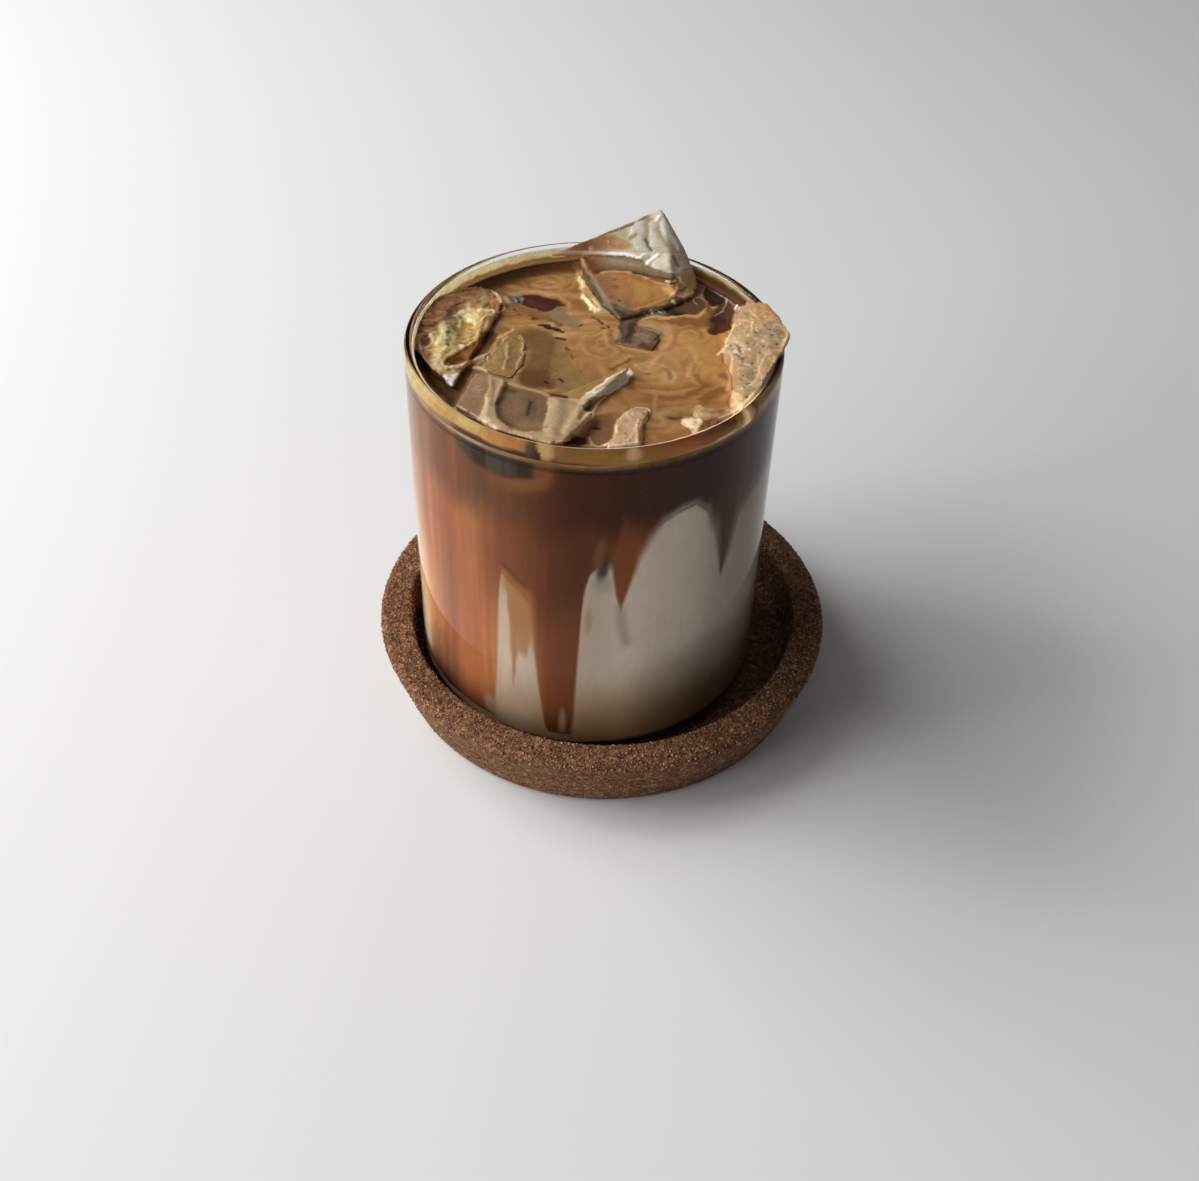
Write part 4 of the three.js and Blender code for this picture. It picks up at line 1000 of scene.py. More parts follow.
        ((226, 206, 180), 0.9, 0.25, 0.35, 0.2, [(-36.7, 16.2), (-36.4, 14)]),
        ((184, 156, 134), 0.85, 0.25, 0.4, 0.1, [(-38.4, 13.2), (-36.4, 11.9), (-34.2, 12.6)]),
        ((52, 36, 26), 0.95, 0.5, 1.5, -0.3, [(-35.7, 5.8), (-35.6, 3.8)]),
        ((190, 170, 138), 0.9, 0.3, 0.5, 0.2, [(-36, 1.3), (-36.9, 4), (-36.2, 7), (-35.2, 7.6),
            (-34.5, 5.4), (-34.8, 2.6), (-36, 1.3)]),
        ((232, 222, 190), 0.9, 0.25, 0.35, 0.1, [(-35.6, 7.8)]),
        ((216, 196, 160), 0.9, 0.25, 0.3, 0.1, [(-37, 6)]),
        ((206, 172, 114), 0.95, 0.9, 0, 0, [(-34.8, 9), (-33, 11.4), (-31.6, 13), (-30.4, 14.2), (-30, 16.4),
            (-28, 17.8), (-26, 17.5), (-24.4, 17.6), (-23, 17), (-22.2, 16), (-24, 14.8), (-24.6, 12),
            (-24.8, 8), (-25, 5.6), (-26.8, 3.2), (-29, 1), (-31, -1), (-31.6, -3.4), (-32, -7),
            (-33.2, -6.4), (-34.2, -3.6), (-34.4, 0), (-34.6, 4)]),
        # painted shade on the right half
        ((150, 118, 64), 0.7, 1.6, 0, -0.1, [(-29.5, 13.5), (-27, 13), (-25.4, 11), (-25.2, 6), (-27, 4),
            (-29.4, 2.6), (-30, 6), (-30.2, 10)]),
        ((138, 106, 58), 0.7, 0.8, 1, -0.1, [(-29.4, 9.6), (-28.6, 6.2)]),
        ((146, 112, 62), 0.7, 0.8, 1, -0.1, [(-26.4, 9), (-26, 6.6)]),
        ((252, 238, 176), 0.95, 0.9, 2.6, 0.3, [(-32.4, 10.6), (-32.2, 8.8)]),
        ((252, 240, 184), 0.95, 0.9, 2.4, 0.3, [(-33.2, 7), (-33, 4)]),
        ((236, 214, 140), 0.9, 0.8, 1.9, 0.2, [(-32.4, 3), (-32.2, 1.4)]),
        ((244, 220, 146), 0.9, 0.7, 1.2, 0.2, [(-31.4, 1.2), (-29.8, 0.8)]),
        ((88, 92, 60), 0.8, 0.3, 0.4, -0.1, [(-31.6, 7.6)]),
        ((94, 94, 62), 0.8, 0.3, 0.35, -0.1, [(-31, 6.2)]),
        ((92, 92, 64), 0.8, 0.3, 0.3, -0.1, [(-31.8, 5)]),
        ((104, 98, 66), 0.8, 0.3, 0.3, -0.1, [(-31.2, 3.2)]),
        ((114, 104, 66), 0.8, 0.4, 0.4, -0.1, [(-31.4, 11.2), (-30.6, 9.4)]),
        ((228, 208, 154), 0.9, 0.7, 1.4, 0.2, [(-33, -0.8), (-33, -3)]),
        ((244, 228, 184), 0.9, 0.4, 0.9, 0.2, [(-32.9, -4.4), (-32.2, -6.6)]),
        ((254, 240, 182), 0.95, 0.6, 1.8, 0.3, [(-29, 16), (-27.6, 14.4), (-27, 13.2)]),
        ((248, 226, 158), 0.95, 0.4, 1.1, 0.3, [(-25.2, 17), (-23.6, 16.6), (-22.6, 17)]),
        ((240, 218, 158), 0.9, 0.4, 0.6, 0.2, [(-30.6, 14.8), (-29.4, 12.6), (-29.2, 10.4)]),
        ((246, 230, 170), 0.9, 0.3, 0.5, 0.2, [(-26.2, 12.6), (-26.1, 11)]),
        ((255, 242, 194), 0.92, 0.4, 0.9, 0.2, [(-28.2, 3), (-27.8, 2.2)]),
        ((230, 206, 146), 0.8, 0.4, 0.5, 0.1, [(-27.6, 4.6), (-25.6, 6.6), (-25.2, 9)]),
        ((242, 218, 158), 0.9, 0.3, 0.35, 0.2, [(-24.7, 13), (-23.8, 15)]),
        ((158, 122, 88), 0.92, 0.6, 0, 0, [(-24.6, 12.8), (-23.6, 15), (-22, 15.4), (-20.4, 14.8),
            (-20, 12.5), (-21, 9.6), (-20.8, 8.4), (-24.6, 8)]),
        ((112, 80, 58), 0.7, 0.7, 1, 0, [(-22.4, 14), (-21.8, 11.8)]),
        ((180, 146, 104), 0.7, 0.5, 0.5, 0.1, [(-23.6, 13.4), (-23.6, 10.4)]),
        ((122, 78, 40), 0.96, 0.5, 0, -0.2, [(-31.4, -3), (-30, -0.8), (-27.5, 2.2), (-25, 5), (-24.7, 8.4),
            (-22.4, 8.8), (-20.6, 8.2), (-20.8, 6.2), (-21.8, 4), (-22.6, 1.2), (-23, -0.2), (-25, -1.6),
            (-28, -3.6), (-30.4, -5), (-31.5, -4.6)]),
        ((70, 34, 12), 0.85, 1.2, 1.6, -0.1, [(-30, -3), (-28.4, -1.6)]),
        ((92, 60, 38), 0.85, 1, 2, 0, [(-23.4, 7), (-23, 5.4)]),
        ((146, 104, 58), 0.6, 1, 1, 0, [(-24.6, 3.6), (-23.6, 1.6)]),
        ((206, 174, 134), 0.94, 0.5, 1.3, 0.3, [(-30.6, -5.4), (-28.6, -5), (-26.6, -3.6), (-24.6, -2),
            (-22.9, -0.8)]),
        ((242, 228, 194), 0.9, 0.3, 0.5, 0.1, [(-29.8, -5.4)]),
        ((238, 220, 184), 0.9, 0.3, 0.4, 0.1, [(-27.6, -4.5)]),
        ((228, 204, 164), 0.8, 0.3, 0.4, 0.1, [(-26.2, -3.4), (-24.8, -2.2)]),
        ((170, 142, 106), 0.92, 0.4, 0, 0, [(-32, -5.8), (-28.2, -5.6), (-28.3, -7.4), (-31.2, -8.2)]),
        ((98, 74, 50), 0.85, 0.3, 0.4, 0, [(-30.6, -6.4)]),
        ((214, 190, 152), 0.85, 0.3, 0.35, 0.1, [(-29.2, -6.6)]),
        # a white painted glint
        ((255, 254, 246), 1, 0.3, 0, 0.2, [(-31.4, -7.8), (-29.8, -8.2), (-28.1, -6.9), (-28.3, -8.8),
            (-28.9, -13), (-30.4, -10.6)]),
        ((168, 160, 140), 0.8, 0.3, 0.5, 0, [(-30.2, -8.7)]),
    ],
    "beside the slab": [
        ((84, 50, 28), 0.9, 1.2, 0, -0.1, [(-37.6, 0.6), (-36.4, -5), (-33.8, -11.6), (-28.2, -19.4),
            (-27.2, -14), (-28.8, -12.6), (-30.6, -10.4), (-31.6, -8), (-33.4, -6), (-35, -3), (-36.4, 0.4)]),
        ((112, 76, 50), 0.9, 0.8, 0, 0, [(-28.2, -7), (-25, -4.8), (-25, -6.4), (-26.4, -12), (-28, -18.6),
            (-29, -13)]),
        ((132, 88, 48), 0.7, 1, 1.2, 0, [(-33.8, -7.4), (-31.8, -11.6)]),
    ],
    "lens": [
        ((146, 112, 72), 0.9, 0.8, 0, 0, [(-18.9, 8.4), (-17.4, 7.8), (-16.2, 7.4), (-15.2, 6.5), (-14.6, 4),
            (-14.7, 1), (-14.8, -3.5), (-15.7, -6.8), (-17, -9.4), (-18.2, -9.6), (-20.5, -8.4),
            (-21.8, -6.4), (-24, -5), (-24, -4.2), (-23, -2), (-22, 1.4), (-20.4, 5)]),
        ((134, 102, 66), 0.7, 1.2, 1.8, -0.1, [(-17.2, 4.6), (-17, 0), (-17.4, -5)]),
        ((164, 130, 92), 0.6, 1.2, 1.6, 0.1, [(-20.6, 2), (-21.4, -3)]),
        ((198, 164, 120), 0.9, 0.25, 0.35, 0.2, [(-16.2, 7.2), (-15.1, 5.4), (-14.7, 3), (-15, 0.5)]),
        ((178, 144, 102), 0.8, 0.4, 0.5, 0.15, [(-15.4, 0), (-16.2, -2.6), (-15.8, -5.6)]),
        ((196, 162, 118), 0.85, 0.3, 0.4, 0.15, [(-19, 5.4), (-18.6, 2), (-19, -1), (-19.2, -4.8)]),
        ((184, 148, 106), 0.85, 0.3, 0.4, 0.15, [(-19.6, 6.6), (-21, 3.4), (-22.4, -0.6), (-23.8, -4)]),
        ((208, 168, 112), 0.85, 0.5, 0.7, 0.15, [(-18, 10), (-19.2, 7.8), (-20.2, 6.2)]),
        ((232, 204, 164), 0.92, 0.4, 0.8, 0.2, [(-24.8, -5.6), (-23.4, -6), (-22.2, -6.8)]),
    ],
    # the slab as it looks: painted light through its pale faces, and painted highlights on the horn and along
    # its edges
    "front slab": [
        ((142, 112, 82), 0.96, 0.3, 0, 0.1, [(-24.9, -6), (-22, -7), (-21.6, -8.5), (-21.8, -13), (-22, -18),
            (-22.6, -23), (-28, -19.7), (-26.4, -12)]),
        ((164, 130, 102), 0.7, 1.4, 1.6, 0, [(-23.4, -8.4), (-23.8, -13)]),
        ((134, 102, 72), 0.7, 1.4, 1.6, 0, [(-24.6, -17), (-24.4, -20.4)]),
        ((182, 150, 118), 0.96, 0.4, 0, 0.3, [(-21.8, -7.4), (-20.5, -8), (-18.2, -9.6), (-18.2, -12),
            (-19.2, -15.5), (-19.6, -19.5), (-19, -22.5), (-17.3, -25), (-16, -26.6), (-18.5, -26.5),
            (-22.6, -23.2), (-21.9, -17), (-21.6, -12)]),
        ((140, 108, 78), 0.75, 0.4, 0.5, 0, [(-20.6, -8.5), (-20.8, -12), (-20.4, -15.5), (-20.7, -18.5)]),
        ((226, 200, 164), 0.85, 0.5, 0.7, 0.1, [(-21.3, -16.5), (-21.6, -22), (-20.4, -24)]),
        ((200, 168, 134), 0.8, 0.4, 0.5, 0.1, [(-18.9, -10.2), (-19.5, -14), (-19.8, -17.6)]),
        ((116, 90, 64), 0.96, 1, 0, -0.2, [(-18, -10.4), (-14, -12), (-9.2, -14.6), (-9.1, -20), (-9.6, -26),
            (-13.5, -27), (-16.5, -25.6), (-18.2, -23.4), (-19.4, -20.6), (-19.3, -17), (-18.4, -14)]),
        ((90, 68, 48), 0.7, 0.9, 1, 0, [(-18.1, -12), (-18.9, -16), (-19.1, -19.5), (-18.2, -22.6),
            (-16.6, -24.6)]),
        ((146, 116, 88), 0.7, 1.6, 2, 0, [(-13.4, -24.6), (-11, -24.4)]),
        ((138, 108, 86), 0.5, 1.6, 1.6, 0, [(-15.6, -15), (-15.8, -20)]),
        ((84, 62, 46), 0.8, 0.6, 1, 0, [(-17.4, -12.6), (-16, -13)]),
        ((96, 80, 64), 0.8, 0.5, 0, -0.1, [(-13, -15.2), (-11.2, -15.4), (-11.2, -20.6), (-13, -21.6)]),
        ((62, 50, 40), 0.85, 0.4, 0.5, 0, [(-12.7, -16.4), (-12.9, -20.8)]),
        ((184, 154, 118), 0.96, 0.4, 0, 0.1, [(-9, -15), (-6, -15.2), (-3, -15.3), (0, -13), (2.4, -14.5),
            (0.2, -18.5), (-0.4, -21.5), (-2.5, -26.8), (-4.6, -29.2), (-6.5, -30.2), (-9.6, -30.2),
            (-13.6, -28.6), (-16.4, -26.6), (-9.8, -26.8), (-9.3, -20)]),
        ((208, 178, 142), 0.8, 1, 1.1, 0.1, [(-7.7, -16), (-8, -22), (-8.4, -28)]),
        ((158, 128, 94), 0.7, 0.9, 0.9, -0.1, [(-5.6, -16.4), (-5.7, -22), (-6.4, -27.6)]),
        ((210, 182, 146), 0.8, 0.8, 1, 0.1, [(-1.8, -16), (-3.4, -21), (-5.2, -27)]),
        ((124, 98, 70), 0.8, 0.5, 0.6, -0.2, [(-0.2, -16), (-1.6, -19.8), (-2.2, -22)]),
        ((108, 82, 58), 0.8, 0.3, 0.4, 0, [(-9.1, -25.3)]),
        ((192, 152, 120), 0.85, 0.3, 0.45, 0.1, [(-20.5, -9.2), (-17, -10.6), (-13, -12.4), (-9, -14.4)]),
        ((48, 30, 18), 0.92, 0.3, 0.5, -0.1, [(-8.4, -14), (-7, -14.3), (-5.4, -14.9)]),
        ((238, 206, 164), 0.9, 0.3, 0.4, 0.1, [(2.6, -14.4), (1, -17), (0, -20)]),
        ((236, 206, 162), 0.92, 0.5, 1.1, 0.2, [(-0.2, -20.4), (-1.6, -24), (-3.2, -27.2)]),
        ((176, 142, 104), 0.8, 0.5, 0.6, 0, [(-0.8, -23.6), (-1.6, -26)]),
        ((232, 200, 158), 0.92, 0.25, 0.4, 0.2, [(-28, -19.8), (-25, -21.8), (-22.6, -23.2)]),
        ((242, 212, 172), 0.92, 0.25, 0.5, 0.2, [(-22.6, -23.4), (-17.6, -26.8), (-13, -28.4), (-10, -29.9),
            (-6.4, -30), (-4.6, -29.2)]),
        ((216, 188, 150), 0.95, 0.4, 0, 0.1, [(-2.6, -15), (-0.4, -12.6), (2, -10), (4.6, -6.6), (6.6, -3.9),
            (7.4, -4), (7.6, -5.6), (6.4, -8.6), (4.8, -10.6), (2.6, -12.3), (0.8, -14), (-1, -15.4)]),
        # painted highlight filling the horn
        ((255, 250, 234), 1, 0.35, 0, 0, [(-0.4, -14.4), (2.6, -13.8), (5.2, -11.8), (7.2, -9), (8.2, -5.4),
            (7.3, -3.6), (6, -5.6), (4, -8.6), (1.8, -11.2)]),
        ((150, 146, 120), 0.7, 0.3, 0.35, 0, [(2.6, -10.6), (5, -8)]),
        ((252, 240, 214), 0.95, 0.25, 0.45, 0.2, [(-1.2, -13.2), (1.4, -10.6), (4, -7), (6.8, -4.1)]),
        ((250, 238, 212), 0.9, 0.3, 0.6, 0.1, [(0.2, -12.8), (1.4, -12.9)]),
    ],
    "in front": [
        ((126, 92, 58), 0.85, 1, 0, -0.1, [(0.6, -20.6), (0.2, -24), (-1.2, -27), (-2.4, -29), (-1, -30.8),
            (2.5, -30.4), (4, -28), (4.4, -24), (4.6, -21)]),
        ((62, 28, 12), 0.92, 0.7, 0, -0.1, [(-4.4, -29.2), (-2.8, -28.2), (-1.2, -29.4), (-1.4, -31),
            (-5.2, -30.9)]),
        ((56, 34, 20), 0.92, 0.3, 0.6, 0, [(0.8, -25.1)]),
        ((62, 38, 22), 0.9, 0.3, 0.4, 0, [(1.5, -25.2)]),
        ((206, 174, 132), 0.85, 0.3, 0.5, 0.1, [(-0.4, -28.6), (0.2, -31)]),
        ((212, 182, 140), 0.85, 0.3, 0.5, 0.1, [(0.8, -31), (2.4, -30.9)]),
        ((80, 66, 46), 0.9, 0.5, 0.7, -0.1, [(15.4, -20.8), (17.8, -20.9)]),
        ((182, 146, 98), 0.6, 1.2, 1.4, 0, [(13.2, -19.4), (16, -18.2), (20, -17.6)]),
        ((106, 74, 42), 0.75, 0.5, 0.5, 0, [(3.6, -4.2), (5.4, -2.6), (7.6, 0)]),
        ((112, 74, 42), 0.85, 0.4, 0.35, 0, [(11.1, -5.5)]),
    ],
    "front chip": [
        ((188, 156, 124), 0.95, 0.4, 0, 0.1, [(11.4, -18), (11.8, -19.5), (10.4, -22), (10, -25),
            (9.8, -29.6), (6, -30.6), (2.8, -31.2), (2.4, -30.6), (4, -28.6), (4.3, -26), (4.6, -23.5),
            (6, -21), (7, -19), (8.5, -17.9)]),
        ((160, 122, 82), 0.8, 0.5, 1, -0.1, [(10.8, -18.8), (10.2, -21.4)]),
        ((160, 126, 94), 0.7, 0.7, 0.9, 0, [(5.8, -23), (5.4, -26.6)]),
        # painted highlights along the chip's edges
        ((226, 196, 162), 0.9, 0.2, 0.3, 0.2, [(9, -17.9), (11.5, -18.3), (11.6, -20), (10.3, -22.4),
            (10, -26), (9.8, -29.4)]),
        ((218, 188, 154), 0.85, 0.2, 0.3, 0.15, [(9.4, -21.6), (9, -25), (9.1, -29)]),
        ((220, 192, 158), 0.8, 0.3, 0.5, 0.1, [(8.2, -18.4), (6.6, -20.4), (5, -23.4), (4.8, -27)]),
        ((240, 216, 182), 0.92, 0.3, 0.7, 0.2, [(2.8, -30.8), (6, -30.3), (9.2, -29.6)]),
        ((236, 210, 176), 0.9, 0.25, 0.4, 0.1, [(4.2, -29.2)]),
        ((232, 206, 170), 0.85, 0.25, 0.35, 0.1, [(7.4, -28.6), (8.2, -27)]),
    ],
    "right chip": [
        ((184, 150, 110), 0.92, 0.5, 0, 0.1, [(18, -21.6), (19.2, -20.8), (21, -20.2), (20.4, -18),
            (21.2, -16.2), (23.2, -17), (25, -17.6), (27, -16.6), (28.6, -17.6), (28.6, -18.8),
            (25.4, -20.8), (23.4, -21.8), (22.4, -23.6), (21.4, -24.8), (20, -24.9), (19.2, -23.4)]),
        ((238, 208, 172), 0.94, 0.4, 0, 0.2, [(17.8, -21.5), (20.2, -21.1), (22.3, -20.8), (22.3, -23.2),
            (21.2, -24.7), (19.8, -24.1)]),
        ((212, 180, 142), 0.85, 0.4, 0.8, 0.1, [(22, -16.9), (22.6, -19), (23.6, -20)]),
        # a painted highlight along its edge
        ((238, 212, 178), 0.9, 0.25, 0.35, 0.15, [(20.2, -25), (22, -24.3), (23.4, -22.4), (26, -20.6),
            (28.4, -18.8)]),
        ((128, 92, 58), 0.85, 0.3, 0.4, 0, [(22.7, -21.8)]),
        ((146, 110, 74), 0.8, 0.3, 0.35, 0, [(20.9, -22.6)]),
        ((124, 92, 54), 0.7, 0.6, 0.8, 0, [(24.6, -18.8), (26.4, -18)]),
    ],
    "right ice": [
        ((168, 139, 106), 0.95, 0.4, 0, 0, [(31.1, 20), (32, 21.4), (33.5, 22.4), (36, 22.7), (38.2, 21.9),
            (39.9, 20.3), (40.2, 17.6), (41.5, 16.1), (42.4, 14), (42.8, 12), (42.3, 9), (41.1, 6),
            (40.6, 4.4), (39.1, 2.3), (38.4, -0.6), (37.4, -4.5), (34.6, -9.9), (31.6, -14), (28.5, -18.4),
            (27.4, -18.6), (28.2, -15), (28.4, -12), (29, -9.5), (29.8, -7.5), (29.7, -5), (29.8, -2),
            (29.2, -0.5), (28.8, 1), (26.5, 2.2), (28, 5), (28.2, 7), (28.6, 9), (29.3, 11.5), (30, 14),
            (30.3, 17)]),
        ((172, 130, 84), 0.85, 0.5, 0, 0.1, [(35, 20.6), (37, 21.8), (39.4, 20.4), (39.9, 17.4),
            (38.6, 16.4), (36.6, 16), (35.4, 18)]),
        ((190, 164, 136), 0.8, 1.2, 2.2, 0.1, [(29.8, 8), (31.4, 5), (30.6, 3)]),
        ((92, 78, 62), 0.8, 0.4, 0.5, -0.1, [(30.6, 2.6), (31.6, 0.4), (31.2, -1.6)]),
        ((150, 130, 108), 0.6, 1.6, 2.6, 0, [(38, 13), (38.4, 9)]),
        ((148, 122, 88), 0.5, 1.6, 2.6, 0, [(33, -2), (32.4, -8)]),
        ((182, 144, 100), 0.6, 1.6, 2.2, 0, [(32.6, 18), (33, 13)]),
        # painted glints
        ((236, 222, 204), 0.9, 0.3, 0.5, 0.2, [(31.8, 21), (31.3, 20.2)]),
        ((240, 212, 166), 0.9, 0.3, 0.8, 0.2, [(28.4, 5.8), (27.3, 3.4), (26.6, 2.4)]),
        ((238, 206, 150), 0.85, 0.3, 0.4, 0.1, [(30.4, 14.4), (29.2, 10), (28.6, 7)]),
        ((232, 200, 150), 0.8, 0.3, 0.4, 0.1, [(29.6, 1.6), (29.2, -0.4)]),
        ((212, 182, 146), 0.85, 0.25, 0.3, 0.15, [(34, 20.4), (35.4, 17.8), (36.4, 16.2)]),
        ((216, 190, 150), 0.8, 0.25, 0.3, 0.15, [(34.9, 15.4), (34.5, 11.8)]),
        ((214, 184, 140), 0.8, 0.3, 0.35, 0.1, [(32.4, -8.6), (34.6, -4), (36.8, 2.8)]),
        # painted highlights along the edges
        ((240, 214, 142), 0.9, 0.5, 0.9, 0.2, [(42.2, 14), (42.1, 10.6), (41, 6.6)]),
        ((212, 176, 126), 0.92, 0.5, 0, 0.1, [(28.6, -10.5), (30.2, -11.5), (31, -13.2), (29.8, -15.4),
            (28.4, -18.2), (27.4, -18.4), (28.3, -14.5)]),
        ((250, 222, 164), 0.95, 0.3, 0.9, 0.2, [(28.8, -18), (31.6, -13.8), (34.5, -9.4)]),
        ((212, 174, 114), 0.85, 0.4, 0.6, 0.1, [(34.6, -9.2), (36.5, -5.8), (37.9, -1.6), (38.6, 2)]),
        *[((88, 66, 46), 0.85, 0.25, size, -0.15, [(x, y)]) for x, y, size in [
            (29.4, 5.8, 0.35), (31.4, 5.4, 0.3), (31.6, 4, 0.35), (33, 7, 0.3), (34.3, 6.6, 0.3),
            (35.1, 13.6, 0.25), (35.2, 11.4, 0.35), (38.4, 12.6, 0.4), (38.9, 10.6, 0.45), (36.3, 6, 0.35),
            (33.6, -0.8, 0.3), (32.3, -8, 0.4), (31.5, -12.4, 0.4), (32, 1.2, 0.3), (35.6, 3.4, 0.25),
            (39.6, 7, 0.3), (37.4, 14.2, 0.25), (31.4, -5.2, 0.3),
        ]],
        *[((220, 196, 158), 0.8, 0.25, size, 0.15, [(x, y)]) for x, y, size in [
            (33.4, 4.6, 0.35), (36.6, 8.4, 0.3), (34.2, -3, 0.35), (31, -9.8, 0.35), (37.6, 17.4, 0.3),
            (40.6, 10, 0.35), (33.6, 10, 0.3), (35, 0.4, 0.3), (32, 14.6, 0.25), (39.6, 14.2, 0.3),
        ]],
        ((104, 78, 54), 0.8, 0.3, 0.4, -0.15, [(30.8, 6.2), (31.3, 4.2), (31.8, 2.8)]),
        ((218, 178, 130), 0.85, 0.6, 0.8, 0.1, [(28.9, -0.6), (29, -3), (28.8, -5.6), (28.6, -8),
            (27.9, -10.4)]),
    ],
}


# Groups of marks that lie in the liquid, and how strongly the edges of each kind wander.
IN_LIQUID = {"swirl", "sunk ice in the middle", "windows into the tea", "foam strip beside the wedge",
             "cavity under the wedge", "thin tea at the back right", "in front", "middle shard", "lens"}
SWIRL_DRIFT, LIQUID_DRIFT, ICE_DRIFT = 0.35, 0.8, 0.3
# Clouds on the top: width of one in mm, seed, layers, shift.
GRAIN, CRUMB = (1.1, 131, 3, 60), (0.6, 135, 2, 90)
RAGGED = [(2.6, 141, 4, 60), (2.6, 151, 4, 60)]
SWELLS = (7, 5, 2)
# Broad drifts of colour in the skin: tint, strength, centre, half width, half height, turn.
SKIN_TINTS = [
    ((1.07, 1.04, 0.98), 1, 24, -2, 12, 18, 0), ((0.88, 0.82, 0.76), 0.6, -18, 31, 17, 9, -35),
    ((0.92, 0.9, 0.88), 0.8, 10, -22, 24, 11, 0),
]


def rounded(points, closed):
    """More points on a smooth curve through these."""
    p = np.array([points[-1], *points, *points[:2]] if closed else [points[0], *points, points[-1]], float)
    curve = []
    for a, b, c, d in zip(p, p[1:], p[2:], p[3:]):
        for t in (0, 0.25, 0.5, 0.75):
            bend = 2 * a - 5 * b + 4 * c - d + t * (3 * (b - c) + d - a)
            curve.append(b + 0.5 * t * (c - a + t * bend))
    return [tuple(q) for q in curve] + ([] if closed else [tuple(points[-1])])


def mark_share(x, y, edge, width, points, smooth):
    """1 on a mark, 0 away from it."""
    if len(points) == 1:
        cx, cy = points[0]
        return 1 - eased(np.hypot(x - cx, y - cy), width - edge / 2, width + edge / 2)
    if len(points) > 2 and (width or smooth):
        points = rounded(points, not width)
    return stroke(x, y, points, width, edge) if width else area(x, y, points, edge)


def lay_marks(x, y, colour, ragged):
    """Lays all marks over a colour, and gives how far they stand out."""
    relief = np.zeros(len(x))
    for group, marks in MARKS.items():
        in_liquid = group in IN_LIQUID
        drift = SWIRL_DRIFT if group == "swirl" else LIQUID_DRIFT if in_liquid else ICE_DRIFT
        u, v = x + ragged[0] * drift, y + ragged[1] * drift
        for tone, strength, edge, width, lift, points in marks:
            reach = width + edge
            (left, front), (right, back) = np.min(points, 0) - reach, np.max(points, 0) + reach
            near = np.flatnonzero((u > left) & (u < right) & (v > front) & (v < back))
            share = mark_share(u[near], v[near], edge, width, points, in_liquid)
            colour[near] = lay(colour[near], tone, strength * share)
            relief[near] += lift * share
    return colour, relief


def in_group(x, y, *names):
    """1 inside the first outline of each of these groups of marks."""
    return np.max([area(x, y, MARKS[name][0][5], 1) for name in names], 0)


def ridges(x, y, seed):
    """Thin crooked crests, 0 to 1, as on crazed ice."""
    return 1 - np.abs(2 * clouds(x, y, seed, 3) - 1) * 2.2


def top_look(x, y):
    """The colour and relief of the top, in display values and mm, at places seen on the level."""
    grain, crumb = clouds_on_top(x, y, *GRAIN), clouds_on_top(x, y, *CRUMB)
    ragged = [clouds_on_top(x, y, *kind) * 3 for kind in RAGGED]
    colour = along(marbling(x, y), TAN)
    for tint, strength, *oval in SKIN_TINTS:
        share = strength * patch(x + ragged[0] * ICE_DRIFT, y + ragged[1] * ICE_DRIFT, *oval)
        colour = lay(colour, colour * tint, share)
    colour, relief = lay_marks(x, y, colour, ragged)
    # dark band along the wall at the back left: painted shadow and reflection of the wall and its film
    wall_shade_band = eased(np.hypot(x, y), 33.5, 36) * eased(y - 0.9 * x, 22, 34) * (1 - eased(x, -2, 6))
    colour = lay(colour, (104, 66, 38), 0.7 * wall_shade_band)
    ice = in_group(x, y, "left ice", "lens", "front slab", "front chip", "right chip", "right ice")
    rough = in_group(x, y, "left ice", "right ice", "front chip", "right chip")
    # crazed ice: painted highlights on its crests and painted shade in its pits, which also rise and sink a
    # little
    crest = ridges(x / 2.4 + 50, y / 1.9 + 50, 145)
    crest_highlight = eased(crest, 0.55, 0.95) * rough
    pit_shade = eased(-crest, -0.1, 0.5) * rough
    lively = 0.25 + 0.65 * in_group(x, y, "left ice") * (1 - eased(y + 0.55 * x, -2, 3))
    colour = lay(colour, colour * 1.15 + 10, lively * crest_highlight)
    colour = lay(colour, colour * (0.8, 0.74, 0.68), lively * pit_shade)
    colour = colour * (1 + grain * (0.1 + 0.3 * rough) + crumb * (0.05 + 0.12 * ice))[:, None]
    relief = relief + rough * (0.1 * crest_highlight - 0.1 * pit_shade) + crumb * 0.04 * ice
    return colour, relief


def seen_on_level(points):
    """Where the photograph's camera sees points in mm, with x from the glass's axis, on the level."""
    eye_y = -CAMERA_DISTANCE * math.cos(CAMERA_ELEVATION)
    eye_height = CAMERA_TARGET_HEIGHT + CAMERA_DISTANCE * math.sin(CAMERA_ELEVATION) - LEVEL
    grown = eye_height / (eye_height - (points[:, 2] - LEVEL))
    return points[:, 0] * grown, eye_y + (points[:, 1] - eye_y) * grown


# Saucer and glass. Granules stand out of the saucer by these shares, on its rim, its wall and inside it.
ON_WALL, ON_INSIDE = 0.22, 0.3
GRANULES_PER_SQUARE_METRE = 1.55e6
GRANULE_RADIUS = 0.31


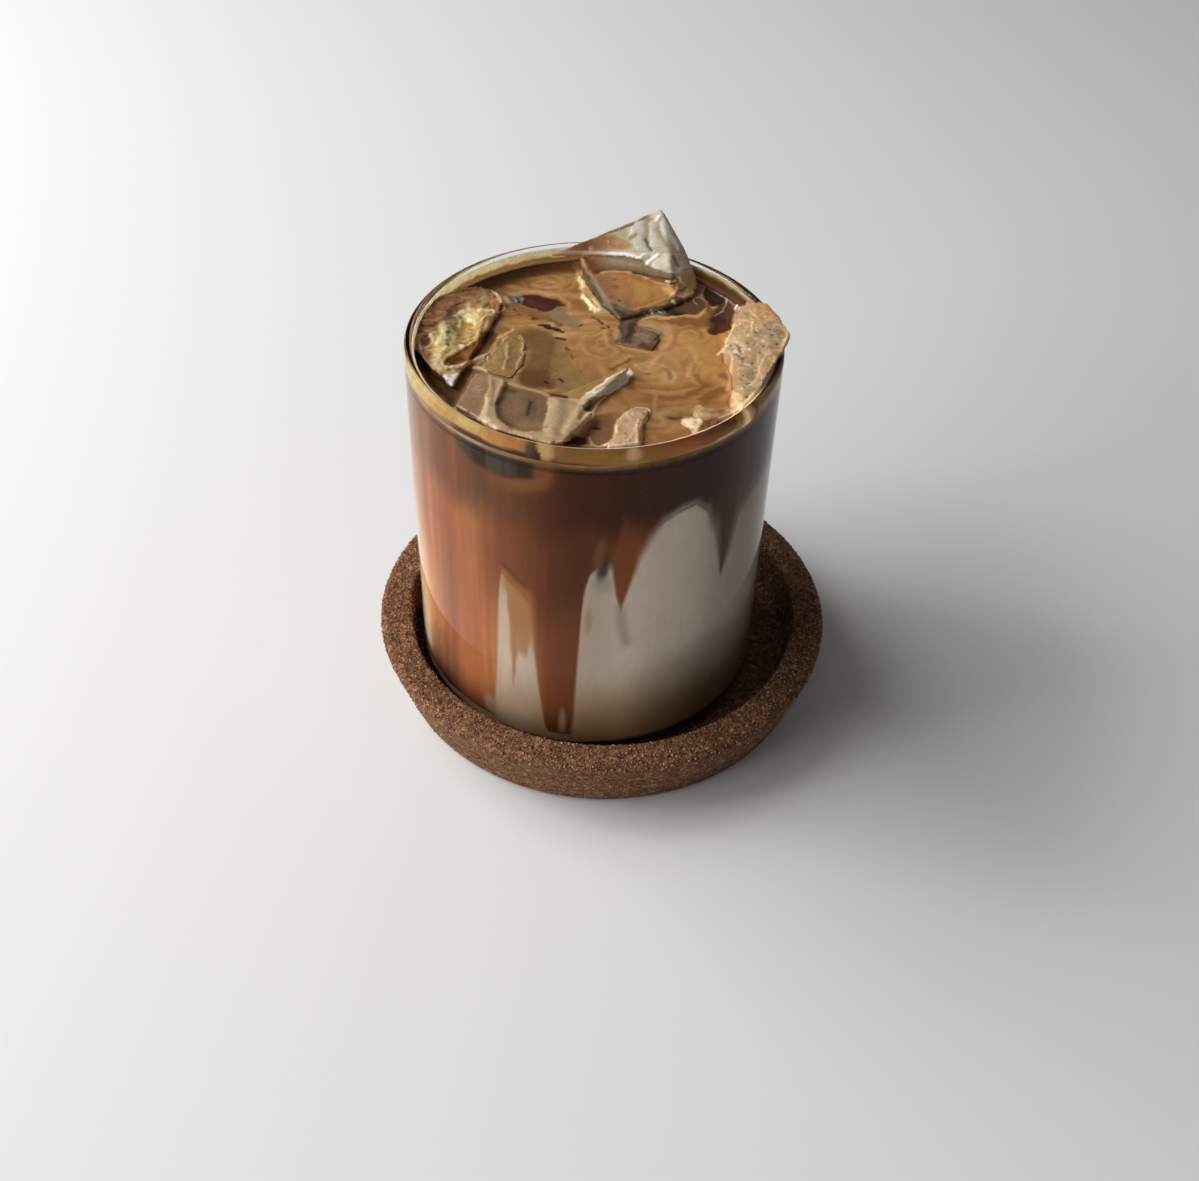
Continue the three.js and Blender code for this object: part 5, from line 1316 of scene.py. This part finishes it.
def add_saucer():
    foot, lip, mouth, well = 1.6, 1.7, 0.9, 1.4
    profile = [
        (0, 0), *round_edge(SAUCER_FOOT_RADIUS - foot, foot, foot, -90, -12),
        *round_edge(SAUCER_TOP_RADIUS - lip, SAUCER_HEIGHT - lip, lip, -12, 90),
        *round_edge(SAUCER_MOUTH_RADIUS + mouth, SAUCER_HEIGHT - mouth, mouth, 90, 180),
        *round_edge(SAUCER_WELL_RADIUS - well, SAUCER_FLOOR + well, well, 0, -90), (0, SAUCER_FLOOR),
    ]
    mesh = turned_mesh("cork_saucer", profile, 0)
    saucer = add_piece("cork_saucer", mesh, cork_finish(), ["saucer"])
    grown = cork_granules(saucer)
    grown.materials.clear()
    add_piece("cork_granules", grown, granule_finish())


def cork_granules(saucer):
    """Geometry Nodes: small granules that stand out of the rim, the edges and the wall."""
    points = np.array([v.co for v in saucer.data.vertices]) / MM
    r, z = np.hypot(points[:, 0], points[:, 1]), points[:, 2]
    rim = eased(z, SAUCER_HEIGHT - 2.2, SAUCER_HEIGHT - 0.8)
    wall = eased(r, 47.2, 48.5) * eased(z, 0.8, 2.5) * ON_WALL
    inside = (1 - eased(r, 46, 47)) * eased(z, 7.5, 14) * ON_INSIDE
    layer = saucer.data.attributes.new("rough", "FLOAT", "POINT")
    layer.data.foreach_set("value", np.max([rim, wall, inside], axis=0).astype(np.float32))

    tree = bpy.data.node_groups.new("cork_granules", "GeometryNodeTree")
    new_socket = tree.interface.new_socket
    new_socket("Geometry", in_out="INPUT", socket_type="NodeSocketGeometry")
    spacing = new_socket("Granules per square metre", in_out="INPUT", socket_type="NodeSocketFloat")
    size = new_socket("Granule radius", in_out="INPUT", socket_type="NodeSocketFloat")
    new_socket("Geometry", in_out="OUTPUT", socket_type="NodeSocketGeometry")
    given = add_node(tree, "NodeGroupInput").outputs
    rough = add_node(tree, "GeometryNodeInputNamedAttribute", {"Name": "rough"}, data_type="FLOAT")
    density = add_node(tree, "ShaderNodeMath", {
        0: rough.outputs["Attribute"], 1: given["Granules per square metre"]}, operation="MULTIPLY")
    scatter = add_node(tree, "GeometryNodeDistributePointsOnFaces", {
        "Mesh": given["Geometry"], "Density": density.outputs[0], "Seed": 4})
    lump = add_node(tree, "GeometryNodeMeshIcoSphere", {"Radius": given["Granule radius"], "Subdivisions": 1})
    sizes = add_node(tree, "FunctionNodeRandomValue", data_type="FLOAT_VECTOR", inputs={
        "Min": (0.45, 0.45, 0.35), "Max": (1.25, 1.1, 0.9), "Seed": 7})
    turns = add_node(tree, "FunctionNodeRandomValue", data_type="FLOAT_VECTOR", inputs={
        "Max": (math.tau, math.tau, math.tau), "Seed": 8})
    tones = add_node(tree, "FunctionNodeRandomValue", {"Seed": 9}, data_type="FLOAT")
    tone = next(o for o in tones.outputs if o.enabled and o.type == "VALUE")
    placed = add_node(tree, "GeometryNodeInstanceOnPoints", {
        "Points": scatter.outputs["Points"], "Instance": lump.outputs["Mesh"],
        "Scale": sizes.outputs[0], "Rotation": turns.outputs[0]})
    toned = add_node(tree, "GeometryNodeStoreNamedAttribute", data_type="FLOAT", domain="INSTANCE", inputs={
        "Geometry": placed.outputs["Instances"], "Name": "tone", "Value": tone})
    real = add_node(tree, "GeometryNodeRealizeInstances", {"Geometry": toned.outputs["Geometry"]})
    dressed = add_node(tree, "GeometryNodeSetMaterial", {
        "Geometry": real.outputs["Geometry"], "Material": saucer.data.materials[0]})
    add_node(tree, "NodeGroupOutput", {"Geometry": dressed.outputs["Geometry"]})

    grower = saucer.modifiers.new("granules", "NODES")
    grower.node_group = tree
    grower[spacing.identifier] = GRANULES_PER_SQUARE_METRE
    grower[size.identifier] = GRANULE_RADIUS * MM
    mesh = finished_mesh(saucer, "cork_granules")
    saucer.modifiers.remove(grower)
    return mesh


def add_glass():
    rim, heel, corner = WALL / 2, 1.8, 1.6
    profile = [
        (0, GLASS_FOOT), *round_edge(GLASS_RADIUS - heel, GLASS_FOOT + heel, heel, -90, 0),
        *round_edge(GLASS_RADIUS - rim, GLASS_RIM - rim, rim, 0, 180, 16),
        *round_edge(INSIDE - corner, FLOOR_INSIDE + corner, corner, 0, -90), (0, FLOOR_INSIDE),
    ]
    mesh = turned_mesh("tumbler", profile, GLASS_X)
    add_piece("tumbler", mesh, clear_glass_finish(), ["glass"])


# The ice

def melted(name, voxel, rounds, ripple, ripple_size):
    """A piece of ice from its CAD solid: edges melted round, faces rippled. Sizes are in mm."""
    body = bmesh.new()
    body.from_mesh(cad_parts[name].data)
    bmesh.ops.remove_doubles(body, verts=body.verts, dist=1e-6)
    mesh = bpy.data.meshes.new(name + "_core")
    body.to_mesh(mesh)
    body.free()
    core = add_object(name + "_core", mesh)
    remesh = core.modifiers.new("even_faces", "REMESH")
    remesh.mode = "VOXEL"
    remesh.voxel_size = voxel * MM
    melt = core.modifiers.new("melted_edges", "SMOOTH")
    melt.factor = 0.5
    melt.iterations = rounds
    shape = finished_mesh(core, name + "_melted")
    bpy.data.objects.remove(core)
    bpy.data.meshes.remove(mesh)
    shape.materials.clear()
    normals = [v.normal.copy() for v in shape.vertices]
    for vertex, normal in zip(shape.vertices, normals):
        p = vertex.co / MM
        wave = noise.noise(p / ripple_size) + 0.5 * noise.noise(p / ripple_size * 2.3 + Vector((9, 5, 2)))
        vertex.co += normal * wave * ripple * MM
    shape.update()
    return shape


ICE = [
    # node, voxel, smoothing rounds, ripple height and size in mm, painted light that lifts its colours,
    # flatness, outline to trim to
    ("ice_back_wedge", 0.34, 3, 0.12, 4.0, 1.5, 1.0, None),
    ("ice_right_rim", 0.30, 3, 0.20, 4.0, 1.25, 1.0, "right ice"),
    ("ice_left_wall", 0.28, 2, 0.18, 2.6, 2.3, 1.0, None),
    ("ice_lens", 0.25, 4, 0.05, 3.0, 1.3, 0.3, "lens"),
    ("ice_front_slab", 0.30, 2, 0.06, 5.0, 1.4, 1.0, None),
    ("ice_front_chip", 0.22, 2, 0.06, 2.0, 1.5, 0.7, "front chip"),
    ("ice_right_chip", 0.22, 2, 0.08, 2.0, 1.25, 0.9, "right chip"),
    ("ice_middle_shard", 0.25, 3, 0.06, 2.0, 1.05, 0.4, "middle shard"),
]
# The wedge is clear where it is seen farther back than this, and its low left side gets this painted shade.
CLEAR_BEHIND = 44
LOW_SIDE_SHADE = (70, 56, 38)
# Ice this far from the glass's axis touches the wall.
TOUCHES_WALL = 35.5


def lift_by_painted_light(look, painted_light):
    """Painted light: lifts a look's darker tones, as if more light fell on them, and keeps its palest ones
    under white.
    """
    gain = painted_light ** (1 / 2.2)
    look = look * (gain / (1 + (gain - 1) * (look.max(axis=1) / 255) ** 3))[:, None]
    return look / np.maximum(1, look.max(axis=1) / 252)[:, None]


def add_ice():
    """Melts, shapes and paints each piece of ice, and gives a search tree of each that stands in the skin."""
    wet, clear = painted_ice_finish("wet_ice", 0.08, 0.18), painted_ice_finish("clear_ice", 0.28, 0.05)
    calm = painted_ice_finish("shaded_ice", 0.04, 0.42, 0.02)
    trees = []
    for name, voxel, rounds, ripple, ripple_size, painted_light, flat, outline in ICE:
        wedge = name == "ice_back_wedge"
        mesh = melted(name, voxel, rounds, ripple, ripple_size)
        points = np.array([v.co for v in mesh.vertices]) / MM - (GLASS_X, 0, 0)
        normals = np.array([v.normal for v in mesh.vertices])
        x, y = seen_on_level(points)
        look, relief = top_look(x, y)
        z = points[:, 2]
        stands = eased(z, LEVEL - 0.3, LEVEL + 0.4)
        z -= np.maximum(z - LEVEL, 0) * (1 - flat)
        if outline:
            free = 1 - eased(np.hypot(points[:, 0], points[:, 1]), TOUCHES_WALL - 1, TOUCHES_WALL)
            z -= free * (1 - in_group(x, y, outline)) * np.maximum(z - LEVEL + 0.6, 0)
        points += normals * (relief * stands)[:, None]
        r = np.hypot(points[:, 0], points[:, 1])
        at_wall = eased(r, 33.5, 36.5) * (z < GLASS_RIM)
        points[:, :2] *= (1 + at_wall * np.minimum(0.6, np.maximum(INSIDE - 0.2 - r, 0)) / r)[:, None]
        points += (GLASS_X, 0, 0)
        mesh.vertices.foreach_set("co", (points * MM).ravel())
        mesh.update()
        if flat > 0.5:
            trees.append(BVHTree.FromPolygons(points.tolist(), [tuple(p.vertices) for p in mesh.polygons]))
        look = lift_by_painted_light(look, painted_light)
        if wedge:
            # painted shade on the wedge's low faces that turn to the left, towards the lamps
            low_side_shade = eased(-normals[:, 0], 0.3, 0.7) * (1 - eased(z, LEVEL + 3, LEVEL + 5))
            look = lay(look, LOW_SIDE_SHADE, 0.85 * low_side_shade)
        paint(mesh, look)
        piece = add_piece(name + "_melted", mesh, calm if wedge else wet, [name])
        if wedge:
            piece.data.materials.append(clear)
            for face in mesh.polygons:
                face.material_index = int(y[list(face.vertices)].mean() > CLEAR_BEHIND)
    return trees


# The drink. The skin dips into a socket round each piece of ice, and climbs a little at the wall.
SKIN = 1.2
DEEPEST_SOCKET = 0.35
SOCKET_LAP = 0.15
IN_SOCKET = 0.15
CLIMB, CLIMB_REACH = 1, 0.7
SWELL = 0.35
TOP_GRID = 260
CORE_GRID = 130
SKIN_UNDERSIDE = (120, 80, 56)
EDGE_SHADE = 0.88
MILK_HEART = 52
TEA_STEPS, MILK_STEPS = 110, 60


def socket_depths(points, trees):
    """How far the skin dips at each point, where a piece of ice stands in it."""
    depths = np.zeros(len(points))
    up, down = Vector((0, 0, 1)), Vector((0, 0, -1))
    for tree in trees:
        for i, (x, y) in enumerate(points):
            start = Vector((x + GLASS_X, y, LEVEL))
            hit = tree.ray_cast(start, up)
            if hit[0] is None or hit[1].z <= 0:
                continue
            foot = tree.ray_cast(start, down)
            if foot[0] is not None:
                depths[i] = max(depths[i], min(foot[3] - SOCKET_LAP, DEEPEST_SOCKET))
    return depths


def with_height(disc, height):
    """Points in mm from rows of x and y and their heights, or one height for all."""
    return np.column_stack([disc, np.broadcast_to(height, len(disc))])


def add_skin(coarse, trees):
    """The marbled skin on top. Gives the height of its underside at the coarse points."""
    fine = disc_points(TOP_GRID) * DRINK_RADIUS
    r = np.hypot(*fine.T)
    sockets = socket_depths(fine, trees)
    swell = clouds_on_top(*fine.T, *SWELLS)
    climb = CLIMB * np.exp(-(INSIDE - np.minimum(r, INSIDE)) / CLIMB_REACH)
    look, relief = top_look(*fine.T)
    height = LEVEL + climb + SWELL * swell * (1 - eased(r, 30, 37)) + relief * (sockets < IN_SOCKET) - sockets
    square = height.reshape(TOP_GRID + 1, TOP_GRID + 1)
    reach = range(-2, 3)
    lowest = np.min([np.roll(square, (i, j), (0, 1)) for i in reach for j in reach], axis=0)
    under = np.minimum(lowest[::2, ::2].ravel() - 0.8, LEVEL - SKIN)
    under_rim, rim = disc_rim(CORE_GRID), disc_rim(TOP_GRID)
    under[under_rim] = LEVEL - SKIN

    high = len(fine)
    low = high + len(rim)
    base = low + len(rim)
    wall = np.concatenate([with_height(fine[rim], LEVEL - 0.1), with_height(fine[rim], LEVEL - SKIN)])
    underside = with_height(coarse * (1 - 0.3 / DRINK_RADIUS), under)
    faces = disc_faces(TOP_GRID, 0) + disc_faces(CORE_GRID, base, up=False)
    high_ring, low_ring = range(high, low), range(low, base)
    faces += band_faces(high_ring, rim) + band_faces(low_ring, high_ring)
    for k in range(len(under_rim)):
        a, b = base + under_rim[k], base + under_rim[(k + 1) % len(under_rim)]
        c, d, e = (low_ring[(2 * k + i) % len(rim)] for i in range(3))
        faces += [(a, d, c), (a, b, d), (b, e, d)]
    points = np.concatenate([with_height(fine, height), wall, underside])
    mesh = made_mesh("marbled_top", points, faces, GLASS_X)
    dull = np.tile(SKIN_UNDERSIDE, (len(coarse), 1))
    paint(mesh, np.concatenate([look, EDGE_SHADE * wall_colour(*wall.T), dull]))
    add_piece("marbled_top", mesh, skin_finish(), ["pale_skin"])
    return under


def add_layer(name, finish, slot, coarse, bottom, top, steps):
    """A layer of the drink between two heights at each coarse point, with its wall in even steps."""
    rim = disc_rim(CORE_GRID)
    low, high = bottom[rim], top[rim]
    wall = [with_height(coarse[rim], low + (high - low) * k / steps) for k in range(1, steps)]
    points = np.concatenate([with_height(coarse, bottom), *wall, with_height(coarse, top)])
    start = len(points) - len(coarse)
    rings = [range(i, i + len(rim)) for i in range(len(coarse), start, len(rim))]
    faces = disc_faces(CORE_GRID, 0, up=False) + disc_faces(CORE_GRID, start)
    faces += wall_faces([rim, *rings, [start + i for i in rim]])
    mesh = made_mesh(name, points, faces, GLASS_X)
    paint(mesh, wall_colour(*points.T))
    add_piece(name, mesh, liquid_finish(finish), [slot])


def add_drink(trees):
    """The skin, and tea and milk under it, which meet at the milk's uneven top."""
    coarse = disc_points(CORE_GRID) * DRINK_RADIUS
    under = add_skin(coarse, trees)
    share = (np.hypot(*coarse.T) / DRINK_RADIUS) ** 2
    milk_top = MILK_HEART + (milk_edge(front_angle(*coarse.T)) - MILK_HEART) * share
    floor = np.full(len(coarse), FLOOR_INSIDE - 0.3)
    add_layer("tea_layer", "tea_behind_glass", "tea", coarse, milk_top, under, TEA_STEPS)
    add_layer("milk_layer", "milk_behind_glass", "milk", coarse, floor, milk_top, MILK_STEPS)


# The film on the wall: colours by angle from the front, near its top and at its foot. Its marks are colour,
# strength, angle, height over the level, half width and half height. Inside, colours go by height over
# the level, first all round and then at the right.
FILM_HIGH = [
    (-180, (232, 196, 146)), (-100, (238, 202, 150)), (-66, (255, 202, 142)), (-54, (222, 164, 94)),
    (-36, (228, 164, 86)), (-24, (196, 128, 62)), (-8, (122, 72, 30)), (8, (110, 56, 20)), (18, (88, 42, 17)),
    (30, (72, 33, 14)), (36, (46, 26, 10)), (42, (41, 23, 6)), (50, (36, 20, 6)), (56, (160, 124, 76)),
    (64, (226, 156, 92)), (72, (230, 170, 112)), (110, (176, 150, 108)), (180, (232, 196, 146)),
]
FILM_LOW = [
    (-180, (214, 172, 110)), (-66, (255, 196, 126)), (-56, (190, 134, 82)), (-47, (176, 120, 72)),
    (-42, (66, 42, 18)), (-30, (74, 46, 24)), (-20, (42, 28, 16)), (-13, (98, 54, 30)), (-6, (70, 32, 18)),
    (4, (104, 54, 26)), (13, (130, 82, 46)), (19, (72, 38, 20)), (31, (78, 42, 24)), (38, (112, 74, 48)),
    (48, (114, 94, 66)), (58, (186, 136, 82)), (68, (226, 158, 92)), (120, (120, 90, 50)),
    (180, (214, 172, 110)),
]
FILM_MARKS = [
    ((226, 176, 112), 0.9, -13.4, 3.2, 2.6, 2.2), ((58, 42, 26), 0.92, -17.4, 2.8, 1.6, 1.9),
    ((26, 18, 12), 0.95, -16, 1.8, 1.1, 1.6), ((196, 146, 92), 0.8, 12, 3.2, 2.2, 1.2),
    ((196, 160, 112), 0.8, 53, 2.6, 2.6, 1.5), ((60, 46, 30), 0.9, 48.2, 2.4, 1.2, 2.6),
    ((216, 178, 120), 0.8, 54.4, 3.2, 2.2, 1.3), ((96, 80, 52), 0.7, 57.4, 2.4, 0.9, 1.4),
    ((236, 190, 124), 0.6, -40, 3.4, 5, 1),
]
FILM_INSIDE = [
    (-1, (150, 98, 60)), (1.6, (140, 90, 50)), (2.4, (112, 62, 26)), (2.8, (252, 184, 96)),
    (3.1, (250, 192, 116)), (3.7, (255, 220, 166)), (4.4, (255, 224, 184)),
]
FILM_INSIDE_RIGHT = [
    (-1, (90, 50, 32)), (1.8, (90, 56, 38)), (2.6, (56, 34, 16)), (3.4, (70, 48, 22)), (4.2, (160, 138, 98)),
]
FILM_SEGMENTS, FILM_ROWS = 480, 16
FILM_FOOT, FILM_TOP = LEVEL - 0.6, LEVEL + 4.5
FILM_MOTTLE, FILM_CLOUDS, FILM_EDGE = (1.6, 171, 3, 120), (2.4, 181, 2, 48), (1, 161, 3, 40)


def add_film():
    """The film left on the inside of the wall, from the level nearly up to the rim."""
    angle = np.linspace(-180, 180, FILM_SEGMENTS, endpoint=False)
    turn = np.radians(angle)
    top = FILM_TOP + clouds_round(angle, 0 * angle, *FILM_EDGE) * 0.3
    shares = np.linspace(0, 1, FILM_ROWS)
    points = []
    for radius, climb in ((INSIDE + 0.2, shares), (INSIDE - 0.22, shares[::-1])):
        disc = np.column_stack([radius * np.sin(turn), -radius * np.cos(turn)])
        points += [with_height(disc, FILM_FOOT + (top - FILM_FOOT) * share) for share in climb]
    points = np.concatenate(points)
    rings = [range(i, i + FILM_SEGMENTS) for i in range(0, len(points), FILM_SEGMENTS)]
    mesh = made_mesh("tan_film", points, wall_faces([*rings, rings[0]]), GLASS_X)
    a, z = np.tile(angle, 2 * FILM_ROWS), points[:, 2]
    mottle = clouds_round(a, z, *FILM_MOTTLE)
    broad = clouds_round(a, z, *FILM_CLOUDS)
    at_foot = 1 - eased(z + broad * 1.6, LEVEL + 1.5, LEVEL + 2.3)
    outside = lay(along(a, FILM_HIGH), along(a, FILM_LOW), at_foot)
    for tone, strength, at, over, wide, tall in FILM_MARKS:
        spot = patch(a + mottle * 1.5, z + broad, at, LEVEL + over, wide, tall, 0, 0.4)
        outside = lay(outside, tone, strength * spot)
    over = z + mottle * 0.9 - LEVEL
    inside = lay(along(over, FILM_INSIDE), along(over, FILM_INSIDE_RIGHT), eased(a, 60, 95))
    is_outside = np.arange(len(points)) < FILM_ROWS * FILM_SEGMENTS
    paint(mesh, np.where(is_outside[:, None], outside, inside) * (1 + mottle * 0.24)[:, None])
    add_piece("tan_film", mesh, film_finish())


add_camera()
add_lights()
add_floor(floor_finish())
add_saucer()
add_glass()
add_drink(add_ice())
add_film()
